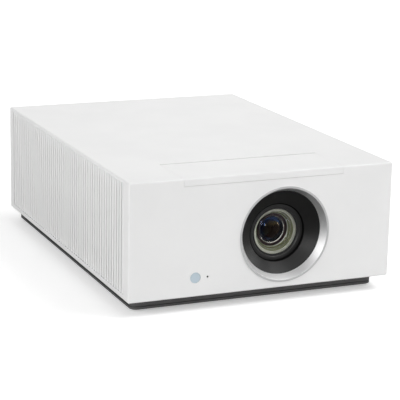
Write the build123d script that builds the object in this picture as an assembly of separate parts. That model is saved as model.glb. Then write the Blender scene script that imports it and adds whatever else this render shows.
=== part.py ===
from build123d import *
import os
from math import radians, sin, sqrt

# Home projector: a white casing on a dark plinth, with a shiftable zoom lens and a laser light engine.
# Millimetres. +X is right as seen from the front, the front faces -Y and +Z is up.
# The origin is the middle of the footprint, at floor level.

# Clearances
FIT = 0.2  # between pieces that are fixed together
SEAM = 0.3  # round pieces that are moved by hand
RUN = 0.06  # radial, for shafts and sliding tubes
AIR = 1.5  # beside pieces that travel
CUT = 1.0  # how far a cutting shape reaches past a face

# Casing
CASE_W = 310.0
CASE_D = 430.0  # from the trim ring's lip to the rear rim
CASE_H = 130.0  # white casing alone
WALL = 2.5
EDGE_R = 2.0
REAR_INSET = 1.5  # the rear cover lies this far inside the rear rim
POST = 10.0  # corner posts that take the rear screws

# Side grilles
SIDE_FRONT = 15.0  # plain margins round the ribbed window
SIDE_REAR = 15.0
SIDE_LOW = 6.0
SIDE_TOP = 3.5
GRILLE_T = 1.4
GRILLE_LAP = 2.0
RIB_PITCH = 7.65
RIB_W = 4.6
RIB_SHOULDER = 1.7
RIB_SHY = 0.1  # rib crests lie this far inside the casing's side
SLOT_W = 1.8
SLOT_MARGIN = 9.0

# Plinth, feet and fasteners
PLINTH_H = 13.5  # dark band seen under the casing
PLINTH_SIDE = 10.0  # the plinth stands back this far from the casing's sides
PLINTH_FRONT = 17.0
PLINTH_REAR = 5.0
PLINTH_R = 8.0
PLINTH_WALL = 4.0
BASE_T = 3.0
BASE_EDGE_R = 1.2
GROOVE_H = 1.5
GROOVE_DEPTH = 2.0
PAN_T = 2.5
PAN_RECESS = 1.0
FOOT_H = 2.5
FOOT_R = 12.0
FOOT_INSET = 24.0  # foot axis from the plinth's sides
FOOT_TRAVEL = 8.0
STUD_R = 4.0
STUD_BOSS_R = 9.0
STUD_GRIP = 8.5  # thread left in the base plate when the foot is fully down
SCREW_R = 1.5
SCREW_HEAD_R = 3.0
SCREW_HEAD_H = 1.3
SCREW_SINK = 2.6  # depth of the counterbores in the base plate
SCREW_INSET = 8.0
SCREW_END = 47.7  # outer screws from the plinth's ends
CEILING_PITCH_X = 160.0
CEILING_PITCH_Y = 240.0
INSERT_R = 4.5
INSERT_L = 10.0
INSERT_BORE_R = 2.1
INSERT_BOSS_R = 8.0

# Lens opening
LENS_FROM_RIGHT = 130.0  # lens axis from the casing's right side
OPENING_ABOVE_CASE = 59.5  # middle of the trim ring above the casing's lower edge
LENS_DROP = 3.0  # the lens axis lies this far below the middle of the ring
RING_R = 53.4
RING_LIP = 2.4
RING_PROUD = 0.6
RING_HOLE_R = 52.8
HOOD_RIM_R = 46.6
HOOD_RIM_DEPTH = 8.4
HOOD_END_R = 31.6
HOOD_END_DEPTH = 20.0
HOOD_WALL = 2.0
HOOD_FLANGE = 3.0

# Lens
BEZEL_GAP = 1.3  # from the hood's end to the lens
BEZEL_R = 36.5
BEZEL_L = 5.9
BARREL_R = 30.0
BARREL_T = 2.5
REAR_BARREL_R = 26.0
REAR_BARREL_L = 38.0
RING_GRIP_R = 37.0
RING_GRIP_L = 11.7
COLLAR_L = 3.0
COLLAR_R = 33.0
TAB_W = 7.0
TAB_T = 6.0
TAB_REACH = 58.0
RING_SWING = 25.0  # degrees to each side
FOCUS_TRAVEL = 2.0
ZOOM_TRAVEL = 3.0
FOCUS_CELL_L = 10.0
FOCUS_CELL_SET = 1.2  # front cell behind the bezel's face
ZOOM_CELL_L = 12.0
ZOOM_NOSE_L = 6.0  # the zoom cell's nose reaches into the front cell
CELL_T = 2.0
CELL_STEP = 1.0
GLASS_SET = 0.5  # front glass behind its cell's face
FRONT_EDGE = 3.0
FRONT_SAG = 2.0
FRONT_HOLLOW = 3.0
LAND_W = 3.0  # flat ground ring round the front glass's hollow rear face
BAFFLE_R = 19.0
BAFFLE_STEPS = 5
ZOOM_GLASS_R = 15.0
ZOOM_SAG = 3.0
STOP_R = 11.0
GLASS_EDGE = 6.0
REAR_GLASS_BACK = 6.0  # rear glass behind the barrel's shoulder

# Lens shift
SHIFT_X = 3.0
SHIFT_Z = 4.0
PLATE_T = 9.0
PLATE_GAP = 5.0
FLANGE_R = 38.0
FLANGE_T = 5.0
V_PLATE_W = 90.0
V_PLATE_H = 68.0
V_ROD_X = 40.0
H_ROD_Z = 37.5
ROD_R = 3.0
LUG_T = 4.0
NUT_T = 10.0
H_NUT_T = 4.0
LUG_W = 10.0
SCREW_SIDE = 54.0  # vertical shift screw to the left of the lens axis
LEAD_R = 2.5
LEAD_FORWARD = 6.6  # shift screws ahead of the carriage plate
FRAME_T = 6.0
FRAME_DROP = 50.0
DIAL_R = 10.0
DIAL_H = 8.0
WHEEL_R = 15.0
WHEEL_T = 7.0
EAR_T = 2.0
FINGER_NOTCHES = 24

# Lid and adjustment bay
LID_MARGIN = 61.0  # from each side of the casing
LID_D = 70.0
LID_LIP = 8.5
PIVOT_R = 1.25
PIVOT_L = 3.0
KNUCKLE_L = 8.0
TRAY_T = 2.0
TRAY_LAP = 4.0

# Receiver window and indicator
WINDOW_FROM_LEFT = 76.0  # from the casing's left side
WINDOW_ABOVE_CASE = 21.0
WINDOW_R = 6.0
WINDOW_FLANGE = 2.0
LED_FROM_LEFT = 90.0
LED_R = 1.1
SENSOR_BOARD_W = 30.0
SENSOR_BOARD_H = 26.0
BOARD_T = 1.6

# Light engine
ENGINE_LEFT = 45.0
ENGINE_RIGHT = 60.0
ENGINE_D = 110.0
ENGINE_H = 84.0
ENGINE_STAND = 8.5
ENGINE_POST_R = 7.0
ENGINE_POST_INSET = 10.0
ENGINE_WALL = 3.0
ENGINE_LID_T = 2.5
PORT_R = 33.0
PRISM = 28.0
PRISM_BACK = 10.0
WHEEL_BOSS_L = 8.0
WHEEL_DISC_R = 17.0
WHEEL_DISC_T = 1.2
WHEEL_HUB_R = 7.0
SPINDLE_R = 2.0
DMD_W = 18.0
DMD_H = 12.0
DMD_BOARD_W = 70.0
DMD_BOARD_H = 56.0
DMD_SINK_L = 24.0
DMD_SINK_W = 36.0
DMD_SINK_H = 54.0
LASER_W = 28.0
LASER_D = 82.0
LASER_H = 70.0
LASER_BACK = 6.0  # laser module's end ahead of the engine's rear wall

# Cooling
FAN = 80.0
FAN_T = 25.0
FAN_GAP = 3.0
FAN_BORE_R = 37.0
FAN_HUB_R = 14.5
FAN_BLADES = 7
FAN_BLADE_T = 1.6
FAN_BLADE_L = 16.0
FAN_PITCH = 35.0
FAN_REAR = 27.0  # rear fan's end from the rear rim
SINK_W = 48.0
SINK_H = 80.0
SINK_D = 150.0
SINK_BASE = 5.0
FIN_T = 1.2
FIN_PITCH = 6.0
PIPE_R = 4.0
PIPE_HEIGHTS = (30.0, 65.0)

# Electronics
SUPPLY_D = 240.0
SUPPLY_SIDE = 8.0
SUPPLY_GAP = 5.5  # from the main board's side
SUPPLY_REAR = 65.0
SUPPLY_STAND = 7.5
SUPPLY_BAY = 20.0  # clear length between the components
TRANSFORMER_L = 40.0
FILTER_L = 30.0
CAPACITORS = 3
BOARD_W = 126.0
BOARD_D = 155.0
BOARD_STAND = 40.0
BOARD_POST_R = 3.5
BOARD_POST_INSET = 5.0
SPEAKER_W = 24.0
SPEAKER_D = 70.0
SPEAKER_H = 75.0
SPEAKER_BACK = 19.0
DRIVER_R = 28.0
DRIVER_T = 4.0

# Rear sockets
IO_LEFT_OF_LENS = 18.0  # socket plate's middle from the lens axis
IO_W = 128.0
IO_H = 44.0
IO_DEPTH = 16.0
IO_PLATE_T = 1.6
SOCKET_T = 0.8
SOCKET_L = 20.0
HDMI_PLACES = (-45.0, -21.0)  # sockets from the plate's middle
HDMI_W = 15.0
HDMI_H = 6.5
USB_PLACE = 3.0
USB_W = 14.0
USB_H = 7.0
LAN_PLACE = 27.0
LAN_W = 16.0
LAN_H = 14.0
JACK_PLACE = 47.0
JACK_R = 1.8
JACK_NOSE_R = 4.0
JACK_BODY = 12.0
INLET_FROM_LEFT = 40.0
INLET_ABOVE_DECK = 32.0
INLET_W = 28.0
INLET_H = 20.0
INLET_DEPTH = 17.0
INLET_FLANGE = 1.5
INLET_FLANGE_T = 1.4
INLET_WALL = 2.0
INLET_CORNER = 4.0
PIN_W = 2.0
PIN_H = 4.0
PIN_L = 13.0
PIN_PITCH = 7.0
PIN_RISE = 2.0
BUTTON_FROM_RIGHT = 50.0
BUTTON_R = 6.0
BUTTON_PROUD = 1.0
BUTTON_TRAVEL = 0.8
BUTTON_FLANGE = 1.6
SWITCH = 6.0
SWITCH_BOARD = 26.0
SWITCH_POST_L = 8.0
VENT_FROM_LEFT = (15.0, 75.0)
VENT_ABOVE_DECK = (66.0, 112.0)
VENT_PITCH = 6.0
VENT_W = 2.6

# Levels and faces that follow from these
HALF_W = CASE_W / 2
FRONT = RING_PROUD - CASE_D / 2
REAR = CASE_D / 2
CASE_Z = FOOT_H + PLINTH_H
TOP = CASE_Z + CASE_H
INNER_X = HALF_W - WALL
INNER_FRONT = FRONT + WALL
CEILING = TOP - WALL
PAN_Z = CASE_Z + PAN_RECESS
DECK = PAN_Z + PAN_T
BACK_OUT = REAR - REAR_INSET
BACK_IN = BACK_OUT - WALL
POST_L = SIDE_REAR - GRILLE_LAP - REAR_INSET - WALL - CUT
SIDE_Y = (FRONT + SIDE_FRONT, REAR - SIDE_REAR)
SIDE_Z = (CASE_Z + SIDE_LOW, TOP - SIDE_TOP)
PLINTH_W = CASE_W - 2 * PLINTH_SIDE
PLINTH_D = REAR - FRONT - PLINTH_FRONT - PLINTH_REAR
PLINTH_Y = REAR - PLINTH_REAR - PLINTH_D / 2
GROOVE_Z = FOOT_H + BASE_T
FRAME_Z = GROOVE_Z + GROOVE_H
FOOT_X = PLINTH_W / 2 - FOOT_INSET
FOOT_Y = PLINTH_D / 2 - FOOT_INSET
LENS_X = HALF_W - LENS_FROM_RIGHT
OPENING_Z = CASE_Z + OPENING_ABOVE_CASE
LENS_Z = OPENING_Z - LENS_DROP
HOOD_FLANGE_R = RING_HOLE_R + HOOD_FLANGE
BEZEL_Y = FRONT + HOOD_END_DEPTH + HOOD_WALL / 2 + BEZEL_GAP
FOCUS_Y = BEZEL_Y + BEZEL_L + SEAM
COLLAR_Y = FOCUS_Y + RING_GRIP_L + SEAM
ZOOM_Y = COLLAR_Y + COLLAR_L + SEAM
FLANGE_Y = ZOOM_Y + RING_GRIP_L + SEAM
V_PLATE_Y = FLANGE_Y + FLANGE_T
H_PLATE_Y = V_PLATE_Y + PLATE_T + PLATE_GAP
FRAME_Y = H_PLATE_Y + PLATE_T + AIR
ENGINE_Y = FRAME_Y + FRAME_T
ENGINE_END = ENGINE_Y + ENGINE_D
ENGINE_X = (LENS_X - ENGINE_LEFT, LENS_X + ENGINE_RIGHT)
ENGINE_Z = DECK + ENGINE_STAND
BARREL_BORE = BARREL_R - BARREL_T
FOCUS_CELL_Y = BEZEL_Y + FOCUS_CELL_SET
FRONT_GLASS_Y = FOCUS_CELL_Y + GLASS_SET
ZOOM_CELL_Y = FOCUS_CELL_Y + FOCUS_CELL_L + FOCUS_TRAVEL + ZOOM_TRAVEL + AIR
ZOOM_GLASS_Y = ZOOM_CELL_Y - ZOOM_NOSE_L + CELL_STEP
CELL_R = BARREL_BORE - RUN
CELL_BORE = CELL_R - CELL_T
SHOULDER_Y = V_PLATE_Y + PLATE_T
LUG_Z = V_PLATE_H / 2 + SHIFT_Z + SEAM
H_TOP = LUG_Z + LUG_T
H_PLATE_X = (LENS_X - SCREW_SIDE - LUG_W / 2, LENS_X + V_PLATE_W / 2 + CUT + H_NUT_T)
LEAD_Y = V_PLATE_Y - LEAD_FORWARD
V_LEAD_X = LENS_X - SCREW_SIDE
H_LEAD_Z = LENS_Z + H_TOP - LUG_W / 2
WHEEL_X = H_PLATE_X[1] + SHIFT_X + AIR + EAR_T + SEAM
TRAY_Z = LENS_Z + H_TOP + AIR
LID_W = CASE_W - 2 * LID_MARGIN
HINGE_Y = FRONT + LID_D - SEAM - WALL
HINGE_Z = CEILING
WINDOW_X = WINDOW_FROM_LEFT - HALF_W
LED_X = LED_FROM_LEFT - HALF_W
BOARD_Z = DECK + BOARD_STAND
IO_X = LENS_X - IO_LEFT_OF_LENS
IO_Y = BACK_OUT - IO_DEPTH
HDMI_X = (IO_X + HDMI_PLACES[0], IO_X + HDMI_PLACES[1])
USB_X = IO_X + USB_PLACE
LAN_X = IO_X + LAN_PLACE
JACK_X = IO_X + JACK_PLACE
INLET_X = INLET_FROM_LEFT - HALF_W
BUTTON_X = HALF_W - BUTTON_FROM_RIGHT
VENT_X = (VENT_FROM_LEFT[0] - HALF_W, VENT_FROM_LEFT[1] - HALF_W)
FAN_X = (INNER_X - GRILLE_T - AIR - FAN_T, INNER_X - GRILLE_T - AIR)
FAN_Y = (REAR - FAN_REAR - 1.5 * FAN - FAN_GAP, REAR - FAN_REAR - 0.5 * FAN)


def block(x0, x1, y0, y1, z0, z1):
    """Box between two limits on each axis, given in either order."""
    return Pos((x0 + x1) / 2, (y0 + y1) / 2, (z0 + z1) / 2) * Box(abs(x1 - x0), abs(y1 - y0), abs(z1 - z0))


def rod(axis, first, second, start, end, radius):
    """Cylinder along an axis. first and second are its centre on the other two axes, in X, Y, Z order."""
    middle = (start + end) / 2
    place = {"x": (middle, first, second), "y": (first, middle, second), "z": (first, second, middle)}[axis]
    turn = {"x": Rot(0, 90, 0), "y": Rot(90, 0, 0), "z": Rot(0, 0, 0)}[axis]
    return Pos(*place) * turn * Cylinder(radius, abs(end - start))


def turned(outline, height=LENS_Z):
    """Solid turned about an axis along Y at the lens, from points given as (radius, y)."""
    return Pos(LENS_X, 0, height) * revolve(make_face(Polyline(*outline, close=True)), Axis.Y)


def tube(inner, outer, y0, y1):
    """Plain ring about the lens axis."""
    return turned([(inner, y0), (outer, y0), (outer, y1), (inner, y1)])


def cap_arc(radius, rim, sag):
    """Arc from the axis to the rim of a spherical face whose apex lies sag ahead of the rim."""
    sphere = (radius**2 + sag**2) / (2 * abs(sag))
    half_sag = abs(sag) - (sphere - sqrt(sphere**2 - radius**2 / 4))
    side = 1 if sag > 0 else -1
    return ThreePointArc((0, rim - sag), (radius / 2, rim - side * half_sag), (radius, rim))


def lens_glass(radius, y0, y1, front_sag, rear_sag):
    """Lens between two spherical faces. A positive sag puts the apex ahead of the rim."""
    front = cap_arc(radius, y0, front_sag)
    rear = cap_arc(radius, y1, rear_sag)
    edge = Line((radius, y0), (radius, y1))
    core = Line((0, y0 - front_sag), (0, y1 - rear_sag))
    return Pos(LENS_X, 0, LENS_Z) * revolve(make_face([front, edge, rear, core]), Axis.Y)


def rounded_slab(width, depth, radius, z0, z1):
    """Upright slab with rounded corners, centred on the plinth."""
    return Pos(0, PLINTH_Y, z0) * extrude(RectangleRounded(width, depth, radius), z1 - z0)


def rear_screw_places():
    """Centres (x, z) of the four screws that hold the rear cover."""
    side = INNER_X - POST / 2
    return [(x, z) for x in (-side, side) for z in (DECK + POST / 2, CEILING - POST / 2)]


def base_screw_places():
    """Centres (x, y) of the screws that hold the plinth under the pan."""
    side = PLINTH_W / 2 - SCREW_INSET
    end = PLINTH_D / 2 - SCREW_END
    return [(x, PLINTH_Y + y) for x in (-side, side) for y in (-end, 0, end)]


def insert_places():
    """Centres (x, y) of the threaded inserts for a ceiling bracket."""
    half_x, half_y = CEILING_PITCH_X / 2, CEILING_PITCH_Y / 2
    return [(x, y) for x in (-half_x, half_x) for y in (-half_y, half_y)]


def foot_places(rear):
    """Centres (x, y) of the front or rear feet."""
    y = PLINTH_Y + (FOOT_Y if rear else -FOOT_Y)
    return [(-FOOT_X, y), (FOOT_X, y)]


def main_board_posts():
    """Centres (x, y) of the posts that carry the main board."""
    x = BOARD_W / 2 - BOARD_POST_INSET
    front = IO_Y - IO_PLATE_T - FIT - BOARD_D + BOARD_POST_INSET
    rear = IO_Y - IO_PLATE_T - FIT - SOCKET_L - BOARD_POST_INSET
    return [(IO_X + side * x, y) for side in (-1, 1) for y in (front, rear)]


def supply_limits():
    """Power supply board limits (x0, x1, y0, y1)."""
    y1 = REAR - SUPPLY_REAR
    return SUPPLY_SIDE - INNER_X, IO_X - BOARD_W / 2 - SUPPLY_GAP, y1 - SUPPLY_D, y1


def supply_posts():
    """Centres (x, y) of the posts that carry the power supply board."""
    x0, x1, y0, y1 = supply_limits()
    inset = BOARD_POST_INSET
    return [(x, y) for x in (x0 + inset, x1 - inset) for y in (y0 + inset, y1 - inset)]


def engine_posts():
    """Centres (x, y) of the posts that carry the light engine."""
    inset = ENGINE_POST_INSET
    rows = (ENGINE_Y + inset, ENGINE_END - inset)
    return [(x, y) for x in (ENGINE_X[0] + inset, ENGINE_X[1] - inset) for y in rows]


# Casing


def upper_cover():
    shell = block(-HALF_W, HALF_W, FRONT, REAR, CASE_Z, TOP)
    shell = fillet(shell.edges(), EDGE_R)
    shell -= block(-INNER_X, INNER_X, INNER_FRONT, REAR + CUT, CASE_Z - CUT, CEILING)
    post_y = (BACK_IN - POST_L, BACK_IN)
    pivot_y = (HINGE_Y - POST / 2, HINGE_Y + WALL)
    for side in (-1, 1):
        shell -= block(side * (INNER_X - CUT), side * (HALF_W + CUT), *SIDE_Y, *SIDE_Z)
        shell += block(side * INNER_X, side * (INNER_X - POST), *post_y, CEILING - POST, CEILING)
        pivot_x = side * LID_W / 2
        shell += block(pivot_x, pivot_x + side * PIVOT_L, *pivot_y, CEILING - POST / 2, CEILING)
    for x, z in rear_screw_places():
        if z > LENS_Z:
            shell -= rod("y", x, z, *post_y, SCREW_R + RUN)
    through = (FRONT - CUT, INNER_FRONT + CUT)
    shell -= rod("y", LENS_X, OPENING_Z, *through, RING_HOLE_R)
    shell -= rod("y", WINDOW_X, CASE_Z + WINDOW_ABOVE_CASE, *through, WINDOW_R)
    shell -= rod("y", LED_X, CASE_Z + WINDOW_ABOVE_CASE, *through, LED_R)
    shell -= block(-LID_W / 2, LID_W / 2, *through, TOP - LID_LIP, TOP + CUT)
    shell -= block(-LID_W / 2, LID_W / 2, FRONT - CUT, FRONT + LID_D, CEILING - CUT, TOP + CUT)
    reach = LID_W / 2 + PIVOT_L + CUT
    shell -= rod("x", HINGE_Y, HINGE_Z, -reach, reach, PIVOT_R + RUN)
    return shell


def side_grille(side):
    rib_z = (SIDE_Z[0] + FIT, SIDE_Z[1] - FIT)
    count = int((SIDE_Y[1] - SIDE_Y[0] - 2 * FIT) / RIB_PITCH)
    first = (SIDE_Y[0] + SIDE_Y[1] - (count - 1) * RIB_PITCH) / 2
    crest = HALF_W - RIB_SHY
    shoulder = INNER_X + RIB_SHOULDER
    half = RIB_W / 2
    foot = Polyline((shoulder, half), (INNER_X, half), (INNER_X, -half), (shoulder, -half))
    crown = ThreePointArc((shoulder, -half), (crest, 0), (shoulder, half))
    rib = Pos(0, 0, rib_z[0]) * extrude(make_face([*foot.edges(), crown]), rib_z[1] - rib_z[0])
    back = INNER_X - GRILLE_T
    plate_y = (SIDE_Y[0] - GRILLE_LAP, SIDE_Y[1] + GRILLE_LAP)
    plate = block(back, INNER_X, *plate_y, SIDE_Z[0] - GRILLE_LAP, CEILING - FIT)
    panel = plate + [Pos(0, first + i * RIB_PITCH, 0) * rib for i in range(count)]
    slot_z = (rib_z[0] + SLOT_MARGIN, rib_z[1] - SLOT_MARGIN)
    slot = block(back - CUT, INNER_X + CUT, -SLOT_W / 2, SLOT_W / 2, *slot_z)
    panel -= [Pos(0, first + (i + 0.5) * RIB_PITCH, 0) * slot for i in range(count - 1)]
    return panel if side > 0 else mirror(panel, Plane.YZ)


def rear_cover():
    half = INNER_X - FIT
    cover = block(-half, half, BACK_IN, BACK_OUT, DECK, CEILING - FIT)
    low = BOARD_Z - SOCKET_T - BOARD_T
    pocket = (IO_X - IO_W / 2, IO_X + IO_W / 2, low, low + IO_H)
    cover += block(pocket[0] - WALL, pocket[1] + WALL, IO_Y, BACK_OUT, pocket[2] - WALL, pocket[3] + WALL)
    cover -= block(pocket[0], pocket[1], IO_Y - CUT, REAR, pocket[2], pocket[3])
    through = (BACK_IN - CUT, REAR)
    vents = int((VENT_X[1] - VENT_X[0]) / VENT_PITCH)
    vent_z = (DECK + VENT_ABOVE_DECK[0], DECK + VENT_ABOVE_DECK[1])
    for i in range(vents):
        x = VENT_X[0] + i * VENT_PITCH
        cover -= block(x, x + VENT_W, *through, *vent_z)
    inlet_z = DECK + INLET_ABOVE_DECK
    half_w, half_h = INLET_W / 2 + FIT, INLET_H / 2 + FIT
    cover -= block(INLET_X - half_w, INLET_X + half_w, *through, inlet_z - half_h, inlet_z + half_h)
    cover -= rod("y", BUTTON_X, LENS_Z, *through, BUTTON_R)
    inset = SWITCH_BOARD / 2 - BOARD_POST_R
    post_y = (BACK_IN - SWITCH_POST_L, BACK_IN)
    for side in (-1, 1):
        cover += rod("y", BUTTON_X + side * inset, LENS_Z + inset, *post_y, BOARD_POST_R)
    for x, z in rear_screw_places():
        cover -= rod("y", x, z, *through, SCREW_R + FIT)
    return cover


def bottom_pan():
    half = INNER_X - FIT
    pan = block(-half, half, INNER_FRONT + FIT, BACK_OUT, PAN_Z, DECK)
    for x, y in main_board_posts():
        pan += rod("z", x, y, DECK, BOARD_Z - BOARD_T, BOARD_POST_R)
    for x, y in supply_posts():
        pan += rod("z", x, y, DECK, DECK + SUPPLY_STAND, BOARD_POST_R)
    for x, y in engine_posts():
        pan += rod("z", x, y, DECK, ENGINE_Z, ENGINE_POST_R)
    for side in (-1, 1):
        pan += block(side * half, side * (INNER_X - POST), BACK_IN - POST_L, BACK_IN, DECK, DECK + POST)
    for x, z in rear_screw_places():
        if z < LENS_Z:
            pan -= rod("y", x, z, BACK_IN - POST_L, BACK_IN, SCREW_R + RUN)
    for x, y in base_screw_places():
        pan -= rod("z", x, y, PAN_Z - CUT, DECK + CUT, SCREW_R + RUN)
    for x, y in foot_places(rear=False):
        pan -= rod("z", x, y, PAN_Z - CUT, DECK + CUT, STUD_R + SEAM)
    return pan


def plinth_frame():
    frame = rounded_slab(PLINTH_W, PLINTH_D, PLINTH_R, FRAME_Z, PAN_Z)
    inner_w, inner_d = PLINTH_W - 2 * PLINTH_WALL, PLINTH_D - 2 * PLINTH_WALL
    frame -= rounded_slab(inner_w, inner_d, PLINTH_R - PLINTH_WALL, FRAME_Z - CUT, PAN_Z + CUT)
    for x, y in base_screw_places():
        frame += rod("z", x, y, FRAME_Z, PAN_Z, SCREW_INSET - PLINTH_WALL / 2)
    for x, y in base_screw_places():
        frame -= rod("z", x, y, FRAME_Z - CUT, PAN_Z + CUT, SCREW_R + FIT)
    return frame


def base_plate():
    plate = rounded_slab(PLINTH_W, PLINTH_D, PLINTH_R, FOOT_H, GROOVE_Z)
    plate = fillet(plate.edges().group_by(Axis.Z)[0], BASE_EDGE_R)
    inset = 2 * GROOVE_DEPTH
    plate += rounded_slab(PLINTH_W - inset, PLINTH_D - inset, PLINTH_R - GROOVE_DEPTH, GROOVE_Z, FRAME_Z)
    for x, y in foot_places(rear=False):
        plate += rod("z", x, y, FRAME_Z, PAN_Z, STUD_BOSS_R)
        plate -= rod("z", x, y, FOOT_H - CUT, PAN_Z + CUT, STUD_R + RUN)
    for x, y in insert_places():
        plate += rod("z", x, y, FRAME_Z, FOOT_H + INSERT_L, INSERT_BOSS_R)
        plate -= rod("z", x, y, FOOT_H - CUT, FOOT_H + INSERT_L + CUT, INSERT_R + RUN)
    for x, y in base_screw_places():
        plate -= rod("z", x, y, FOOT_H - CUT, FRAME_Z + CUT, SCREW_R + FIT)
        plate -= rod("z", x, y, FOOT_H - CUT, FOOT_H + SCREW_SINK, SCREW_HEAD_R + FIT)
    return plate


def ceiling_inserts():
    end = FOOT_H + INSERT_L
    insert = rod("z", 0, 0, FOOT_H, end, INSERT_R) - rod("z", 0, 0, FOOT_H - CUT, end + CUT, INSERT_BORE_R)
    return [Pos(x, y, 0) * insert for x, y in insert_places()]


def case_screws():
    screws = []
    for x, y in base_screw_places():
        seat = FOOT_H + SCREW_SINK
        head = rod("z", x, y, seat - SCREW_HEAD_H, seat, SCREW_HEAD_R)
        screws.append(head + rod("z", x, y, seat, DECK - FIT, SCREW_R))
    for x, z in rear_screw_places():
        head = rod("y", x, z, BACK_OUT, BACK_OUT + SCREW_HEAD_H, SCREW_HEAD_R)
        screws.append(head + rod("y", x, z, BACK_IN - POST_L + FIT, BACK_OUT, SCREW_R))
    return screws


def rear_foot_pads():
    return [rod("z", x, y, 0, FOOT_H, FOOT_R) for x, y in foot_places(rear=True)]


def front_foot(side):
    x, y = foot_places(rear=False)[0 if side < 0 else 1]
    foot = rod("z", x, y, 0, FOOT_H - FIT, FOOT_R)
    foot = fillet(foot.edges().group_by(Axis.Z)[0], BASE_EDGE_R)
    return foot + rod("z", x, y, FOOT_H - FIT, FOOT_H + FOOT_TRAVEL + STUD_GRIP, STUD_R)


# Lens opening


def lens_trim_ring():
    sleeve = RING_HOLE_R - FIT
    back = FRONT + HOOD_RIM_DEPTH
    lip = FRONT - RING_PROUD
    return turned([
        (RING_R, lip), (RING_R, FRONT), (sleeve, FRONT),
        (sleeve, back), (HOOD_RIM_R, back), (RING_R - RING_LIP, lip),
    ], OPENING_Z)


def cone_between(front_r, front_y, end_r, end_y):
    """Leaning cone from a circle on the ring's axis to a circle on the lens axis."""
    front = Pos(LENS_X, front_y, OPENING_Z) * Rot(90, 0, 0) * Circle(front_r)
    end = Pos(LENS_X, end_y, LENS_Z) * Rot(90, 0, 0) * Circle(end_r)
    return loft([front, end], ruled=True)


def lens_hood():
    rim = FRONT + HOOD_RIM_DEPTH
    end = FRONT + HOOD_END_DEPTH
    tail = end + HOOD_WALL / 2
    collar = RING_HOLE_R + HOOD_WALL
    flange = INNER_FRONT + HOOD_WALL
    hood = turned([
        (0, rim), (RING_HOLE_R, rim), (RING_HOLE_R, INNER_FRONT), (HOOD_FLANGE_R, INNER_FRONT),
        (HOOD_FLANGE_R, flange), (collar, flange), (collar, rim + HOOD_WALL), (0, rim + HOOD_WALL),
    ], OPENING_Z)
    hood += cone_between(HOOD_RIM_R + HOOD_WALL, rim + HOOD_WALL, HOOD_END_R + HOOD_WALL, tail)
    hood -= cone_between(HOOD_RIM_R, rim, HOOD_END_R, end)
    return hood - rod("y", LENS_X, LENS_Z, end, tail + CUT, HOOD_END_R)


def sensor_window():
    z = CASE_Z + WINDOW_ABOVE_CASE
    window = rod("y", WINDOW_X, z, FRONT + FIT, INNER_FRONT, WINDOW_R - RUN)
    back = INNER_FRONT + WINDOW_FLANGE
    return window + rod("y", WINDOW_X, z, INNER_FRONT, back, WINDOW_R + WINDOW_FLANGE)


def status_led():
    back = INNER_FRONT + WINDOW_FLANGE
    return rod("y", LED_X, CASE_Z + WINDOW_ABOVE_CASE, FRONT + FIT, back, LED_R - RUN)


def sensor_board():
    x = (WINDOW_X + LED_X) / 2
    z = CASE_Z + WINDOW_ABOVE_CASE
    face = INNER_FRONT + WINDOW_FLANGE
    half = SENSOR_BOARD_H / 2
    return block(x - SENSOR_BOARD_W / 2, x + SENSOR_BOARD_W / 2, face, face + BOARD_T, z - half, z + half)


# Lid and adjustment bay


def lid():
    lip = TOP - LID_LIP + SEAM
    rear = HINGE_Y + WALL
    nose = RadiusArc((FRONT, TOP - EDGE_R), (FRONT + EDGE_R, TOP), EDGE_R)
    tail = RadiusArc((HINGE_Y, TOP), (rear, CEILING), WALL)
    deck = Line((FRONT + EDGE_R, TOP), (HINGE_Y, TOP))
    inner = ((INNER_FRONT, CEILING), (INNER_FRONT, lip))
    under = Polyline((rear, CEILING), *inner, (FRONT, lip), (FRONT, TOP - EDGE_R))
    profile = make_face([nose, deck, tail, *under.edges()])
    half = LID_W / 2 - SEAM
    plate = extrude(Plane.YZ * profile, half, both=True)
    for side in (-1, 1):
        plate += rod("x", HINGE_Y, HINGE_Z, side * half, side * (half - KNUCKLE_L), WALL)
        plate += rod("x", HINGE_Y, HINGE_Z, side * (half - CUT), side * (half + PIVOT_L), PIVOT_R)
    return plate


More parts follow.
